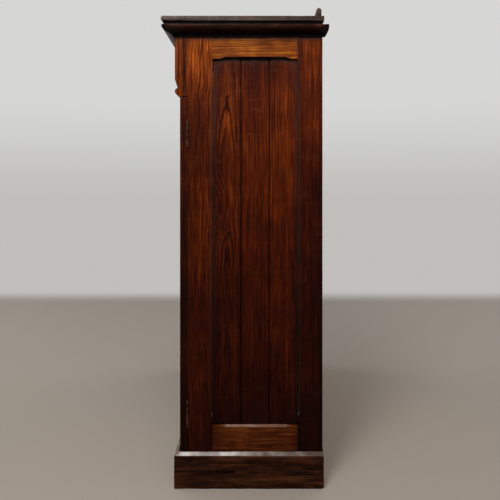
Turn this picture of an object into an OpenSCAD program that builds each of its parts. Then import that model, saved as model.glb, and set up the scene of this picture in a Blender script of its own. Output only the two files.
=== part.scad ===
// Two-door cupboard in framed pine: matchboarded sides and doors, plinth, beaded frieze,
// cornice, thin top board and a low gallery along the back.
// Millimetres. The origin is on the floor under the middle of the whole cupboard.
// +Z is up and the doors face -Y.

/* [Carcase] */
// Width across the outer faces of the two side frames
carcase_w = 950; // [800:10:1200]
// Depth of the side frames, from their front edge to their back edge
carcase_d = 328; // [290:2:420]
// Height of the side frames, from the plinth to the top board
side_h = 1040; // [960:10:1240]
// Thickness of the side frames
frame_t = 22; // [20:1:28]
// Width of the stiles of the side frames
side_stile_w = 60; // [52:1:75]
// Width of the top rail of each side frame
side_top_rail_w = 85; // [60:1:110]
// Width of the bottom rail of each side frame
side_bottom_rail_w = 64; // [50:1:90]
// Thickness of the bottom board
bottom_t = 18; // [16:1:25]
// Thickness of the back boards
back_t = 12; // [9:1:15]
// Number of boards in the back
back_board_count = 11; // [8:1:14]
// Width of the rebate in the rear stiles that takes the back boards
rebate_w = 12; // [8:1:15]
// Thickness of the rail behind the frieze
front_rail_t = 20; // [16:1:26]
// How far the closed doors lap over the rail behind the frieze
front_rail_lap = 24.5; // [12:0.5:40]
// Height of the rail that the back boards are nailed to
back_rail_h = 60; // [40:1:90]
// Thickness of the rail that the back boards are nailed to
back_rail_t = 20; // [15:1:28]

/* [Framing and boards] */
// Depth from the face of a frame to the face of its boards
recess = 6.5; // [5.5:0.5:7.5]
// Depth of the grooves that hold the boards
groove_d = 8; // [6:0.5:11]
// Length of the tenons on the rails
tenon_l = 38; // [25:1:42]
// Thickness of the tenons on the rails
tenon_t = 6; // [4:0.5:8]
// Wood left beyond the outer edge of each tenon
haunch = 12; // [8:1:18]
// Clearance round tenons and behind boards
joint_fit = 0.1; // [0.05:0.05:0.2]
// Width of the chamfer along the inner edges of a frame
chamfer = 5; // [3:0.5:5.5]
// Plain edge left at each corner before the chamfer's stop
stop_l = 19; // [10:1:40]
// Length of the nick in the chamfer's stop
nick_l = 3; // [1:0.5:6]
// Length over which the chamfer runs down to its full width
run_l = 8; // [4:0.5:16]
// Thickness of the boards in the side frames
side_board_t = 12; // [9:0.5:13]
// Number of boards in each side frame
side_board_count = 3; // [2:1:5]
// Thickness of the boards in the doors
door_board_t = 9; // [8.5:0.25:10]
// Number of boards in each door
door_board_count = 5; // [3:1:7]
// Length of the tongues between boards
tongue_l = 5; // [3:0.5:7]
// Thickness of the tongues between boards
tongue_t = 3; // [2.5:0.25:3.5]
// Width of the small chamfer on each edge of a board's face
vee = 2.2; // [1.5:0.1:2.6]
// Gap between the edges of neighbouring boards
board_gap = 0.3; // [0.2:0.1:1]
// Room left at a board's ends and outer edges in its groove
board_end_gap = 1; // [0.5:0.5:3]

/* [Plinth] */
// Height of the plinth
plinth_h = 87.5; // [70:0.5:120]
// Thickness of the plinth boards
plinth_t = 22; // [18:1:30]
// How far the plinth stands out past the side frames
plinth_side_out = 8.5; // [4:0.5:12]
// How far the plinth stands out in front of the side frames
plinth_front_out = 32.5; // [24:0.5:45]
// How far the plinth stands out past the back edges of the side frames
plinth_back_out = 2.5; // [0:0.5:6]
// Width and height of the chamfer along the plinth's top edge
plinth_chamfer = 8; // [3:0.5:10]
// Radius worn on the bottom corners of the plinth's sides
plinth_wear_r = 7; // [2:0.5:12]
// Width of the bearers inside the plinth
bearer_w = 30; // [24:1:50]
// Height of the bearers inside the plinth
bearer_h = 22; // [15:1:30]
// Side of the square glue blocks in the plinth's corners
glue_block_w = 25; // [15:1:40]
// Height of the glue blocks in the plinth's corners
glue_block_h = 45; // [30:1:48]

/* [Frieze and cornice] */
// Height of the frieze with its bead, from the doors' gap to the top board
frieze_h = 176; // [150:2:220]
// How far the frieze and the lugs of the side frames stand out in front
frieze_out = 31.5; // [30:0.5:40]
// Thickness of the frieze board
frieze_t = 22; // [18:1:26]
// Diameter of the bead under the frieze
bead_d = 17.5; // [12:0.5:20]
// Flat left under the bead
bead_flat = 3; // [1:0.5:6]
// How far the frieze falls back behind its face above the bead
splay_in = 6.5; // [3:0.5:8]
// Height of the sloping part above the bead
splay_h = 20; // [12:1:30]
// Number of blocks between the frieze board and the rail behind it
frieze_block_count = 4; // [2:1:7]
// Width of each of those blocks
frieze_block_w = 50; // [30:1:80]
// Height of each of those blocks
frieze_block_h = 60; // [30:1:100]
// Height of the cornice moulding
cornice_h = 25.5; // [22:0.5:32]
// How far the cornice moulding stands out
cornice_out = 28.5; // [24:0.5:30]
// Height of the flat band along the cornice's top edge
cornice_band = 3; // [1.5:0.5:5]
// Width of the flat at the cornice's foot
cornice_foot = 4.5; // [2:0.5:8]
// Height of the flat at the cornice's foot
cornice_foot_h = 3; // [1.5:0.5:5]
// How far the side mouldings run past the back of the carcase
cornice_past = 13; // [9:0.5:20]
// How far the cut end of a side moulding leans forward at its foot
cornice_lean = 7.5; // [3:0.5:12]
// Open gap between the cornice and the top board
cornice_gap = 7.5; // [4:0.5:12]

/* [Top and gallery] */
// Thickness of the top board
top_t = 12; // [10:0.5:18]
// How far the top board stands out past the frieze and the side frames
top_out = 30; // [29:1:45]
// How far the top board stands out past the back of the side frames
top_back_out = 1.5; // [0:0.5:5]
// Height of the gallery
gallery_h = 24; // [16:1:60]
// Thickness of the gallery
gallery_t = 12.5; // [9:0.5:18]
// Distance from the gallery's ends to the ends of the top board
gallery_inset = 20; // [5:1:60]
// Distance from the gallery's back to the back of the top board
gallery_set = 5; // [0.5:0.5:15]
// Depth that the gallery is let into the top board
gallery_let = 3; // [1:0.5:6]

/* [Doors] */
// Thickness of the doors
door_t = 18; // [17:0.5:24]
// Width of the doors' stiles
door_stile_w = 60; // [56:1:80]
// Width of the doors' rails
door_rail_w = 60; // [50:1:90]
// Gap above and below each door
door_gap = 2; // [1:0.5:4]
// Gap between the two doors
meeting_gap = 2; // [1:0.5:4]
// Gap between the doors and the front edges of the carcase
door_back_gap = 1; // [0.8:0.1:1.2]

/* [Shelves] */
// Thickness of the shelves
shelf_t = 18; // [15:1:25]
// Clear height under each shelf
shelf_clear = 190; // [150:5:210]
// Distance from the front edge of the carcase to the shelves
shelf_set = 20; // [17:1:60]
// Gap at each end of a shelf
shelf_fit = 0.5; // [0.25:0.25:1]
// Width of the battens under the shelves
batten_w = 18; // [12:1:30]
// Height of the battens under the shelves
batten_h = 22; // [15:1:35]

/* [Hinges] */
// Length of each hinge
hinge_l = 63.5; // [50:0.5:76]
// Distance from the end of a door to its nearest hinge
hinge_end = 59; // [54:1:150]
// Width of each hinge leaf
leaf_w = 18; // [14:1:19]
// Thickness of each hinge leaf
leaf_t = 1.3; // [1.1:0.05:1.35]
// Depth that each leaf is let into the wood
leaf_let = 1; // [0.95:0.05:1.2]
// Radius of the knuckles
knuckle_r = 2.9; // [2.4:0.05:3]
// Distance from the side of the carcase to the hinge pin's axis
knuckle_out = 3.3; // [3.2:0.05:3.8]
// Gap between neighbouring knuckles
knuckle_gap = 0.2; // [0.1:0.05:0.4]
// Radius of the hinge pins
pin_r = 1.5; // [1.2:0.05:1.7]
// Radial clearance of the pins in the knuckles
pin_fit = 0.05; // [0.02:0.01:0.1]
// Height of the button at each end of a pin
pin_button_h = 1.5; // [1:0.1:3]
// Radius of the screw heads
screw_head_r = 3; // [2.4:0.1:3.4]
// Radius of the screw shanks
screw_r = 1.5; // [1.2:0.05:1.8]
// Length of the screws
screw_l = 12; // [8:0.5:14]
// Distance from the end of a hinge to its first screw
screw_end = 9; // [6:0.5:16]
// Clearance round the screws
screw_fit = 0.05; // [0.02:0.01:0.1]

/* [Lock and knob] */
// Height of the key above the bottom edge of the doors
key_h = 430; // [300:5:600]
// Width of the lock case
lock_w = 54; // [50:1:56]
// Height of the lock case
lock_h = 52; // [46:1:70]
// Thickness of the lock case
lock_t = 11; // [10:0.5:14]
// Wall of the lock case
lock_wall = 1.5; // [1:0.1:2]
// Distance from the edge of a door to the lock case or its keeper
lock_set = 0.5; // [0.3:0.1:2]
// Distance from the edge of the lock case to the key's axis
key_set = 27; // [25:0.5:28]
// Distance from the foot of the lock case to the key's axis
key_up = 18; // [14:1:22]
// Radius of the key's shank
key_r = 2.5; // [2:0.1:3]
// Radius swept by the key's bit
bit_r = 8; // [6:0.25:8.5]
// Gap between that sweep and the lock's bolt
bit_gap = 1; // [0.5:0.25:2]
// Thickness of the key's bit
bit_t = 2; // [1.5:0.25:3]
// Width of the key's bit along its shank
bit_w = 5; // [3:0.5:6]
// Distance from the face of the door to the centre of the key's bow
bow_out = 24; // [20:0.5:28]
// Radius of the centre line of the key's bow
bow_r = 8.5; // [7:0.25:10]
// Thickness of the key's bow
bow_t = 3.4; // [2.5:0.1:4]
// Clearance round the key
key_fit = 0.3; // [0.2:0.05:0.5]
// Height of the lock's bolt
lock_bolt_h = 10; // [7:0.5:12]
// Thickness of the lock's bolt
lock_bolt_t = 5; // [4:0.25:6]
// Length of the lock's bolt
lock_bolt_l = 50; // [46:0.5:51]
// Distance that one turn of the key throws the bolt
lock_throw = 8; // [5:0.5:10]
// Clearance round the lock's bolt
lock_fit = 0.3; // [0.2:0.05:0.5]
// Distance from the edge of the case to the rib that guides the bolt
rib_set = 37; // [36.5:0.25:38]
// Thickness of that rib
rib_t = 2; // [1.5:0.25:3]
// Width of the keeper on the other door
keeper_w = 16; // [14:0.5:24]
// Wall of the keeper above and below the bolt
keeper_wall = 4; // [2:0.5:6]
// Radius of the plate round the keyhole
plate_r = 12; // [10:0.5:18]
// Thickness of the plate round the keyhole
plate_t = 1.2; // [0.8:0.1:2]
// Height of the knob above the key
knob_up = 80; // [50:5:120]
// Radius of the knob
knob_r = 13; // [9:0.5:16]
// Length of the knob's round part
knob_l = 18; // [12:0.5:24]
// Length of the knob's neck with its foot
knob_neck_l = 8; // [5:0.5:12]
// Radius of the knob's neck
knob_neck_r = 5; // [3.5:0.25:6]
// Radius of the knob's foot
knob_foot_r = 9; // [7:0.5:12]
// Thickness of the knob's foot
knob_foot_t = 2; // [1:0.25:4]
// Radius of the knob's spigot
spigot_r = 4; // [3:0.25:5]
// Length of the knob's spigot
spigot_l = 12; // [8:0.5:15]

/* [Door bolts] */
// Radius of the bolts' rods
rod_r = 3; // [2.5:0.1:3.2]
// Length of the bolts' rods
rod_l = 104; // [90:1:140]
// Distance that a bolt travels
bolt_throw = 12; // [8:0.5:13]
// Distance from the back of the door to a rod's axis
rod_stand = 8.2; // [7:0.1:9]
// Clearance of a rod in its guides
guide_fit = 0.3; // [0.2:0.05:0.5]
// Clearance of a rod in the hole that it enters
hole_fit = 0.6; // [0.5:0.05:0.9]
// Depth of the holes that the rods enter
hole_d = 14; // [13.5:0.1:14.5]
// Thickness of the bolts' plates
bolt_plate_t = 1.5; // [1:0.1:2.5]
// Width of the bolts' plates
bolt_plate_w = 22; // [18:1:30]
// Length of the bolts' plates
bolt_plate_l = 96; // [84:1:120]
// Height of each guide on a bolt's plate
guide_h = 8; // [5:0.5:12]
// Width of each guide on a bolt's plate
guide_w = 12; // [10:0.5:18]
// Distance from the tip of a drawn bolt to its plate
plate_back = 8; // [4:0.5:12]
// Gap between the tip of a drawn bolt and the plate it enters
tip_gap = 1; // [0.6:0.1:2]
// Thickness of the plates that the bolts enter
catch_t = 1; // [0.6:0.1:1.5]
// Length of those plates
catch_l = 34; // [26:1:50]
// Length of the thumb piece on a rod
thumb_l = 7; // [4:0.5:9]
// Radius of the thumb piece on a rod
thumb_r = 2.5; // [2:0.1:2.9]

/* [Hidden] */
$fn = 48;

// Colours of the stained outside, the plainer inside and the metals
stained = "saddlebrown";
plain = "burlywood";
brass = "darkgoldenrod";
iron = "dimgray";

// Reach of a cut past the face that it leaves
over = 1;

// Places along Y, front to back
total_d = top_out + frieze_out + carcase_d + cornice_past;
top_front = -total_d / 2;
frieze_front = top_front + top_out;
carcase_front = frieze_front + frieze_out;
carcase_back = carcase_front + carcase_d;
back_front = carcase_back - back_t;
plinth_front_y = carcase_front - plinth_front_out;
plinth_back_y = carcase_back + plinth_back_out;
door_back = carcase_front - door_back_gap;
door_front = door_back - door_t;
pin_y = carcase_front - door_back_gap / 2;

// Places along X, from the middle
side_x = carcase_w / 2;
inner_x = side_x - frame_t;
plinth_x = side_x + plinth_side_out;
pin_x = side_x + knuckle_out;

// Heights above the floor
top_z = plinth_h + side_h;
frieze_z = top_z - frieze_h;
cornice_z = top_z - cornice_gap - cornice_h;
door_z = plinth_h + door_gap;
door_h = frieze_z - door_gap - door_z;
floor_z = plinth_h + bottom_t;
front_rail_z = door_z + door_h - front_rail_lap;

// Openings in the frames, measured from each frame's own foot
side_lo = side_bottom_rail_w;
side_hi = side_h - side_top_rail_w;
side_opening = carcase_d - 2 * side_stile_w;
door_w = side_x - meeting_gap / 2;
door_lo = door_rail_w;
door_hi = door_h - door_rail_w;
door_opening = door_w - 2 * door_stile_w;

// Gallery
gallery_w = 2 * (side_x + top_out - gallery_inset);
gallery_y = carcase_back + top_back_out - gallery_set - gallery_t;
gallery_z = top_z + top_t - gallery_let;

// Bead and frieze
bead_r = bead_d / 2;
bead_top = bead_flat + bead_d;

// Hinges
knuckle_count = 5;
knuckle_l = (hinge_l - (knuckle_count - 1) * knuckle_gap) / knuckle_count;
knuckle_step = knuckle_l + knuckle_gap;
leaf_y = door_back_gap / 2 - (leaf_t - leaf_let);
pin_button_r = (pin_r + knuckle_r) / 2;
hinge_feet = [hinge_end, door_h - hinge_end - hinge_l];
screw_feet = [screw_end, hinge_l / 2, hinge_l - screw_end];

// Lock, measured from the edge of the door
lock_x = meeting_gap / 2 + lock_set;
key_x = lock_x + key_set;
key_z = door_z + key_h;
lock_bolt_z = key_z + bit_r + bit_gap;
lock_bolt_y = door_back + (lock_t - lock_bolt_t) / 2;
key_tip_y = door_back + lock_t - lock_wall - key_fit;

// Door bolts
rod_x = -(meeting_gap + door_stile_w) / 2;
rod_y = door_back + rod_stand;
top_tip_z = front_rail_z - catch_t - tip_gap;
bottom_tip_z = floor_z + catch_t + tip_gap;

// Points of a cubic curve from a to d that leaves towards b and arrives from c
function curve(a, b, c, d, steps = 8) = [for (i = [0:steps]) let (t = i / steps, s = 1 - t)
    s * s * s * a + 3 * s * s * t * b + 3 * s * t * t * c + t * t * t * d];

// Points of an arc about c
function arc(c, r, from, to, steps = 8) = [for (i = [0:steps])
    let (a = from + (to - from) * i / steps) c + r * [cos(a), sin(a)]];

// Profile of a stopped chamfer: across is the depth below the edge, along is the edge
function stop_points(l) = let (d = chamfer / sqrt(2), nick = stop_l + nick_l * 2 / 3,
        crest = stop_l + nick_l, full = crest + run_l)
    [[chamfer, stop_l], [0, stop_l], [-d / 2, nick], [-d / 8, crest], [-d, full],
        [-d, l - full], [-d / 8, l - crest], [-d / 2, l - nick], [0, l - stop_l],
        [chamfer, l - stop_l]];

// Cutter for a stopped chamfer on an edge that lies on the Z axis, wood towards -X and +Y
module stop_chamfer(l) rotate([0, 0, -45]) rotate([90, 0, 0])
    linear_extrude(4 * chamfer, center = true) polygon(stop_points(l));

// Place of a tenon across a frame's thickness
function tenon_y(board_t) = recess + (board_t - tenon_t) / 2;

// Stile of a frame, inner edge at x = w; lo and hi are the ends of the panel opening.
// Children add to it before the joints are cut.
module stile(l, w, t, board_t, lo, hi) difference() {
    union() {
        cube([w, t, l]);
        children();
    }
    translate([w - groove_d, recess, lo - groove_d])
        cube([groove_d + over, board_t + joint_fit, hi - lo + 2 * groove_d]);
    for (z = [[haunch, lo - groove_d], [hi + groove_d, l - haunch]])
        translate([w - tenon_l - joint_fit, tenon_y(board_t) - joint_fit, z[0] - joint_fit])
            cube([tenon_l + joint_fit + over, tenon_t + 2 * joint_fit,
                z[1] - z[0] + 2 * joint_fit]);
    translate([w, 0, lo]) stop_chamfer(hi - lo);
}

// Rail of a frame, standing on end with its inner edge at x = w
module rail(l, w, t, board_t) difference() {
    union() {
        cube([w, t, l]);
        translate([haunch, tenon_y(board_t), -tenon_l])
            cube([w - haunch - groove_d, tenon_t, l + 2 * tenon_l]);
    }
    translate([w - groove_d, recess, -over])
        cube([groove_d + over, board_t + joint_fit, l + 2 * over]);
    translate([w, 0, 0]) stop_chamfer(l);
}

// Rail laid along the foot of a frame, and along its head
module foot_rail(x, l, w, t, board_t) translate([x + l, 0, 0]) rotate([0, -90, 0])
    rail(l, w, t, board_t);
module head_rail(x, l, w, t, board_t, z) translate([x, 0, z]) rotate([0, 90, 0])
    rail(l, w, t, board_t);

// Plan of one board with a groove on its left edge or a tongue on its right edge
module board_plan(x0, x1, t, grooved, tongued) {
    low = (t - tongue_t) / 2;
    high = (t + tongue_t) / 2;
    left = grooved ? [[x0 + vee, 0], [x0, vee], [x0, low - joint_fit],
        [x0 + tongue_l, low - joint_fit], [x0 + tongue_l, high + joint_fit],
        [x0, high + joint_fit]] : [[x0, 0]];
    right = tongued ? [[x1, high], [x1 + tongue_l, high], [x1 + tongue_l, low], [x1, low],
        [x1, vee], [x1 - vee, 0]] : [[x1, 0]];
    polygon(concat(left, [[x0, t], [x1, t]], right));
}

// Row of tongued boards across an opening, let in by margin at both sides
module boards(count, opening, margin, h, t) {
    step = opening / count;
    for (i = [0:count - 1]) {
        first = i == 0;
        last = i == count - 1;
        linear_extrude(h) board_plan(first ? -margin : i * step + board_gap / 2,
            last ? opening + margin : (i + 1) * step - board_gap / 2, t, !first, !last);
    }
}

// Section of the bead strip, front at x = 0
module bead_section(depth) {
    translate([bead_r, bead_flat + bead_r]) circle(bead_r);
    translate([bead_r, 0]) square([depth - bead_r, bead_top]);
}

// Section of the frieze above the bead, front at x = 0
module frieze_section(depth) polygon([[splay_in, bead_top], [0, bead_top + splay_h],
    [0, frieze_h], [depth, frieze_h], [depth, bead_top]]);

// Section of the cornice moulding, back at x = 0 and standing out towards +X. The ogee's
// two curves are steered by points set as shares of the way from its foot to its brow.
module cornice_section() {
    foot = [cornice_foot, cornice_foot_h];
    rise = [cornice_out, cornice_h - cornice_band] - foot;
    p = [for (share = [[0, 0], [0.02, 0.2], [0.3, 0.22], [0.5, 0.37], [0.8, 0.58], [1, 0.7],
        [1, 1]]) foot + [share[0] * rise[0], share[1] * rise[1]]];
    polygon(concat([[0, 0], [cornice_foot, 0]], curve(p[0], p[1], p[2], p[3]),
        curve(p[3], p[4], p[5], p[6]), [[cornice_out, cornice_h], [0, cornice_h]]));
}

// Lays a section (x to the back, y up) along X, centred
module along_x(l) rotate([90, 0, 90]) linear_extrude(l, center = true) children();

// Puts a frame, drawn with its face towards -Y, on the right-hand side of the carcase
module on_right() translate([side_x, carcase_front, plinth_h]) rotate([0, 0, 90]) children();
module left() mirror([1, 0, 0]) children();

// Puts a door, drawn with its meeting edge at x = 0, in the right-hand opening
module on_door() translate([meeting_gap / 2, door_front, door_z]) children();

// Each hinge of the right-hand side, with its pin along Z
module at_hinges() for (z = hinge_feet) translate([pin_x, pin_y, door_z + z]) children();

// Each screw of a leaf, with its length along +Z into the carcase
module at_screws() for (z = screw_feet)
    translate([-knuckle_out - leaf_w / 2, leaf_y, z]) rotate([-90, 0, 0]) children();

// Hinge leaf that lies against the carcase; own lists its knuckles
module leaf(own) difference() {
    union() {
        translate([-knuckle_out - leaf_w, leaf_y, 0]) cube([leaf_w, leaf_t, hinge_l]);
        for (i = own) translate([0, 0, i * knuckle_step]) {
            cylinder(r = knuckle_r, h = knuckle_l);
            translate([-knuckle_out, leaf_y, 0]) cube([knuckle_out, leaf_t, knuckle_l]);
        }
    }
    translate([0, 0, -over]) cylinder(r = pin_r + pin_fit, h = hinge_l + 2 * over);
    at_screws() {
        cylinder(r1 = screw_head_r + screw_fit, r2 = screw_r + screw_fit, h = leaf_t);
        cylinder(r = screw_r + screw_fit, h = leaf_t + over);
    }
}

// Screws of one leaf
module leaf_screws() at_screws() {
    cylinder(r1 = screw_head_r, r2 = screw_r, h = leaf_t);
    cylinder(r = screw_r, h = screw_l);
}

// Housing and pilot holes that a leaf needs in the wood
module leaf_housing() {
    translate([-knuckle_out - leaf_w - joint_fit, -over, -joint_fit])
        cube([leaf_w + knuckle_out + over, door_back_gap / 2 + leaf_let + over,
            hinge_l + 2 * joint_fit]);
    at_screws() cylinder(r = screw_r + screw_fit, h = screw_l + joint_fit);
}

// Outline of the keyhole about the key's axis, y up
module keyhole_outline() {
    circle(key_r + key_fit);
    translate([-bit_t / 2 - key_fit, -bit_r - key_fit])
        square([bit_t + 2 * key_fit, bit_r + key_fit]);
}

// Keyhole cut that runs from y0 to y1
module keyhole(y0, y1) translate([key_x, y1, key_z]) rotate([90, 0, 0])
    linear_extrude(y1 - y0) keyhole_outline();

// Turns what is drawn along Z so that it runs towards +Y
module along_y() rotate([-90, 0, 0]) children();

// Side frames
module side_front_stile() difference() {
    on_right() stile(side_h, side_stile_w, frame_t, side_board_t, side_lo, side_hi)
        translate([-frieze_out, frame_t, side_h - frieze_h]) rotate([90, 0, 0])
            linear_extrude(frame_t) {
                bead_section(frieze_out + side_stile_w);
                frieze_section(frieze_out + side_stile_w);
            }
    at_hinges() leaf_housing();
}

module side_rear_stile() difference() {
    on_right() translate([carcase_d, 0, 0]) mirror([1, 0, 0])
        stile(side_h, side_stile_w, frame_t, side_board_t, side_lo, side_hi);
    translate([inner_x - over, back_front, plinth_h - over])
        cube([rebate_w + over, back_t + over, side_h + 2 * over]);
}

module side_top_rail() on_right() head_rail(side_stile_w, side_opening, side_top_rail_w,
    frame_t, side_board_t, side_h);

module side_bottom_rail() on_right() foot_rail(side_stile_w, side_opening,
    side_bottom_rail_w, frame_t, side_board_t);

module side_boards() on_right()
    translate([side_stile_w, recess, side_lo - groove_d + board_end_gap])
        boards(side_board_count, side_opening, groove_d - board_end_gap,
            side_hi - side_lo + 2 * (groove_d - board_end_gap), side_board_t);

module right_front_stile() color(stained) side_front_stile();
module left_front_stile() color(stained) left() side_front_stile();
module right_rear_stile() color(stained) side_rear_stile();
module left_rear_stile() color(stained) left() side_rear_stile();
module right_top_rail() color(stained) side_top_rail();
module left_top_rail() color(stained) left() side_top_rail();
module right_bottom_rail() color(stained) side_bottom_rail();
module left_bottom_rail() color(stained) left() side_bottom_rail();
module right_side_boards() color(stained) side_boards();
module left_side_boards() color(stained) left() side_boards();

// Inside of the carcase
module bottom_board() color(plain) difference() {
    translate([-inner_x, carcase_front, plinth_h])
        cube([2 * inner_x, back_front - carcase_front, bottom_t]);
    translate([rod_x, rod_y, floor_z - hole_d]) cylinder(r = rod_r + hole_fit, h = hole_d + over);
}

module back_boards() {
    reach = inner_x + rebate_w - joint_fit;
    color(plain) translate([-reach, back_front, plinth_h])
        boards(back_board_count, 2 * reach, 0, side_h, back_t);
}

module back_rail() color(plain) translate([-inner_x, back_front - back_rail_t, top_z - back_rail_h])
    cube([2 * inner_x, back_rail_t, back_rail_h]);

module front_top_rail() color(plain) difference() {
    translate([-inner_x, carcase_front, front_rail_z])
        cube([2 * inner_x, front_rail_t, top_z - front_rail_z]);
    translate([rod_x, rod_y, front_rail_z - over]) cylinder(r = rod_r + hole_fit, h = hole_d + over);
}

// Frieze between the lugs of the side frames
module frieze_board() color(stained) translate([0, frieze_front, frieze_z])
    along_x(2 * inner_x) frieze_section(frieze_t);

module frieze_bead() color(stained) translate([0, frieze_front, frieze_z])
    along_x(2 * inner_x) bead_section(frieze_t);

module frieze_blocks() {
    pitch = 2 * inner_x / frieze_block_count;
    color(plain) for (i = [0:frieze_block_count - 1])
        translate([-inner_x + (i + 0.5) * pitch - frieze_block_w / 2,
            frieze_front + frieze_t, cornice_z - frieze_block_h])
            cube([frieze_block_w, frieze_out - frieze_t, frieze_block_h]);
}

// Cornice, mitred at the front corners
module cornice_front() color(stained) intersection() {
    translate([0, frieze_front, cornice_z]) along_x(2 * (side_x + cornice_out))
        mirror([1, 0]) cornice_section();
    translate([0, 0, cornice_z]) linear_extrude(cornice_h)
        polygon([[-side_x, frieze_front], [side_x, frieze_front],
            [side_x + cornice_out, frieze_front - cornice_out],
            [-side_x - cornice_out, frieze_front - cornice_out]]);
}

module cornice_side() {
    rear = carcase_back + cornice_past;
    run = rear - frieze_front + cornice_out;
    knee = cornice_h * 2 / 3;
    intersection() {
        translate([side_x, rear, cornice_z]) rotate([90, 0, 0])
            linear_extrude(run) cornice_section();
        translate([0, 0, cornice_z]) linear_extrude(cornice_h)
            polygon([[side_x, frieze_front], [side_x + cornice_out, frieze_front - cornice_out],
                [side_x + cornice_out, rear], [side_x, rear]]);
        translate([side_x, 0, cornice_z]) rotate([90, 0, 90]) linear_extrude(cornice_out)
            polygon(concat([[rear - run, 0]], curve([rear - cornice_lean, 0],
                [rear - cornice_lean / 2, knee / 3], [rear, knee * 2 / 3], [rear, knee]),
                [[rear, cornice_h], [rear - run, cornice_h]]));
    }
}
module cornice_right() color(stained) cornice_side();
module cornice_left() color(stained) left() cornice_side();

// Top board with a round nose along its front, housed for the gallery
module top_board() color(stained) difference() {
    translate([0, top_front, top_z]) along_x(2 * (side_x + top_out)) {
        translate([top_t / 2, top_t / 2]) circle(top_t / 2);
        translate([top_t / 2, 0])
            square([carcase_back + top_back_out - top_front - top_t / 2, top_t]);
    }
    translate([-gallery_w / 2, gallery_y, gallery_z])
        cube([gallery_w, gallery_t, gallery_let + over]);
}

// Gallery with a rounded top
module back_gallery() color(stained) translate([0, gallery_y, gallery_z]) along_x(gallery_w) {
    square([gallery_t, gallery_let + gallery_h - gallery_t / 2]);
    translate([gallery_t / 2, gallery_let + gallery_h - gallery_t / 2]) circle(gallery_t / 2);
}

// Plinth
module plinth_section() polygon([[0, 0], [0, plinth_h - plinth_chamfer],
    [plinth_chamfer, plinth_h], [plinth_t, plinth_h], [plinth_t, 0]]);

module plinth_front() color(stained) intersection() {
    translate([0, plinth_front_y, 0]) along_x(2 * plinth_x) plinth_section();
    linear_extrude(plinth_h) polygon([[-plinth_x, plinth_front_y], [plinth_x, plinth_front_y],
        [plinth_x - plinth_t, plinth_front_y + plinth_t],
        [-plinth_x + plinth_t, plinth_front_y + plinth_t]]);
}

module plinth_side() {
    l = plinth_back_y - plinth_front_y;
    r = plinth_wear_r;
    intersection() {
        translate([plinth_x, plinth_front_y, 0]) rotate([0, 0, 90])
            rotate([90, 0, 90]) linear_extrude(l) plinth_section();
        linear_extrude(plinth_h) polygon([[plinth_x, plinth_front_y], [plinth_x, plinth_back_y],
            [plinth_x - plinth_t, plinth_back_y],
            [plinth_x - plinth_t, plinth_front_y + plinth_t]]);
        translate([plinth_x, plinth_front_y, 0]) rotate([90, 0, -90]) translate([-l, 0, 0])
            linear_extrude(plinth_t) polygon(concat(arc([r, r], r, 180, 270),
                [[l, 0], [l, plinth_h], [0, plinth_h]]));
    }
}
module plinth_right() color(stained) plinth_side();
module plinth_left() color(stained) left() plinth_side();

module plinth_back() color(plain)
    translate([-plinth_x + plinth_t, plinth_back_y - plinth_t, 0])
        cube([2 * (plinth_x - plinth_t), plinth_t, plinth_h]);

module plinth_bearers() {
    front = plinth_front_y + plinth_t;
    color(plain) translate([-plinth_x + plinth_t, front, plinth_h - bearer_h])
        cube([2 * (plinth_x - plinth_t), bearer_w, bearer_h]);
    color(plain) translate([-bearer_w / 2, front + bearer_w + joint_fit, plinth_h - bearer_h])
        cube([bearer_w, plinth_back_y - plinth_t - front - bearer_w - joint_fit, bearer_h]);
}

module plinth_blocks() color(plain) for (s = [-1, 1], y = [plinth_front_y + plinth_t,
        plinth_back_y - plinth_t - glue_block_w])
    translate([s * (plinth_x - plinth_t - glue_block_w / 2) - glue_block_w / 2, y, 0])
        cube([glue_block_w, glue_block_w, glue_block_h]);

// Shelves on battens; level 1 is the lowest
function shelf_z(level) = floor_z + level * shelf_clear + (level - 1) * shelf_t;

module shelf(level) color(plain)
    translate([-inner_x + shelf_fit, carcase_front + shelf_set, shelf_z(level)])
        cube([2 * (inner_x - shelf_fit), back_front - carcase_front - shelf_set, shelf_t]);
module bottom_shelf() shelf(1);
module middle_shelf() shelf(2);
module top_shelf() shelf(3);

module shelf_battens() color(plain) for (s = [-1, 1], level = [1:3])
    translate([s * (inner_x - batten_w / 2) - batten_w / 2, carcase_front + shelf_set,
        shelf_z(level) - batten_h])
        cube([batten_w, back_front - carcase_front - shelf_set, batten_h]);

// Hinges: three knuckles on the carcase and two on the door
module carcase_leaves() at_hinges() leaf([0, 2, 4]);
module door_leaves() at_hinges() mirror([0, 1, 0]) leaf([1, 3]);
module side_pins() at_hinges() {
    cylinder(r = pin_r, h = hinge_l);
    for (z = [-pin_button_h, hinge_l]) translate([0, 0, z])
        cylinder(r = pin_button_r, h = pin_button_h);
}
module carcase_hinge_leaves() color(brass) {
    carcase_leaves();
    left() carcase_leaves();
}
module hinge_pins() color(brass) {
    side_pins();
    left() side_pins();
}
module carcase_hinge_screws() color(brass) {
    at_hinges() leaf_screws();
    left() at_hinges() leaf_screws();
}
module door_screws() at_hinges() mirror([0, 1, 0]) leaf_screws();
module left_door_hinge_leaves() color(brass) left() door_leaves();
module right_door_hinge_leaves() color(brass) door_leaves();
module left_door_hinge_screws() color(brass) left() door_screws();
module right_door_hinge_screws() color(brass) door_screws();

// Doors
module door_meeting_stile() on_door()
    stile(door_h, door_stile_w, door_t, door_board_t, door_lo, door_hi);

module door_hinge_stile() difference() {
    on_door() translate([door_w, 0, 0]) mirror([1, 0, 0])
        stile(door_h, door_stile_w, door_t, door_board_t, door_lo, door_hi);
    at_hinges() mirror([0, 1, 0]) leaf_housing();
}

module door_top_rail() on_door() head_rail(door_stile_w, door_opening, door_rail_w, door_t,
    door_board_t, door_h);

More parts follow.
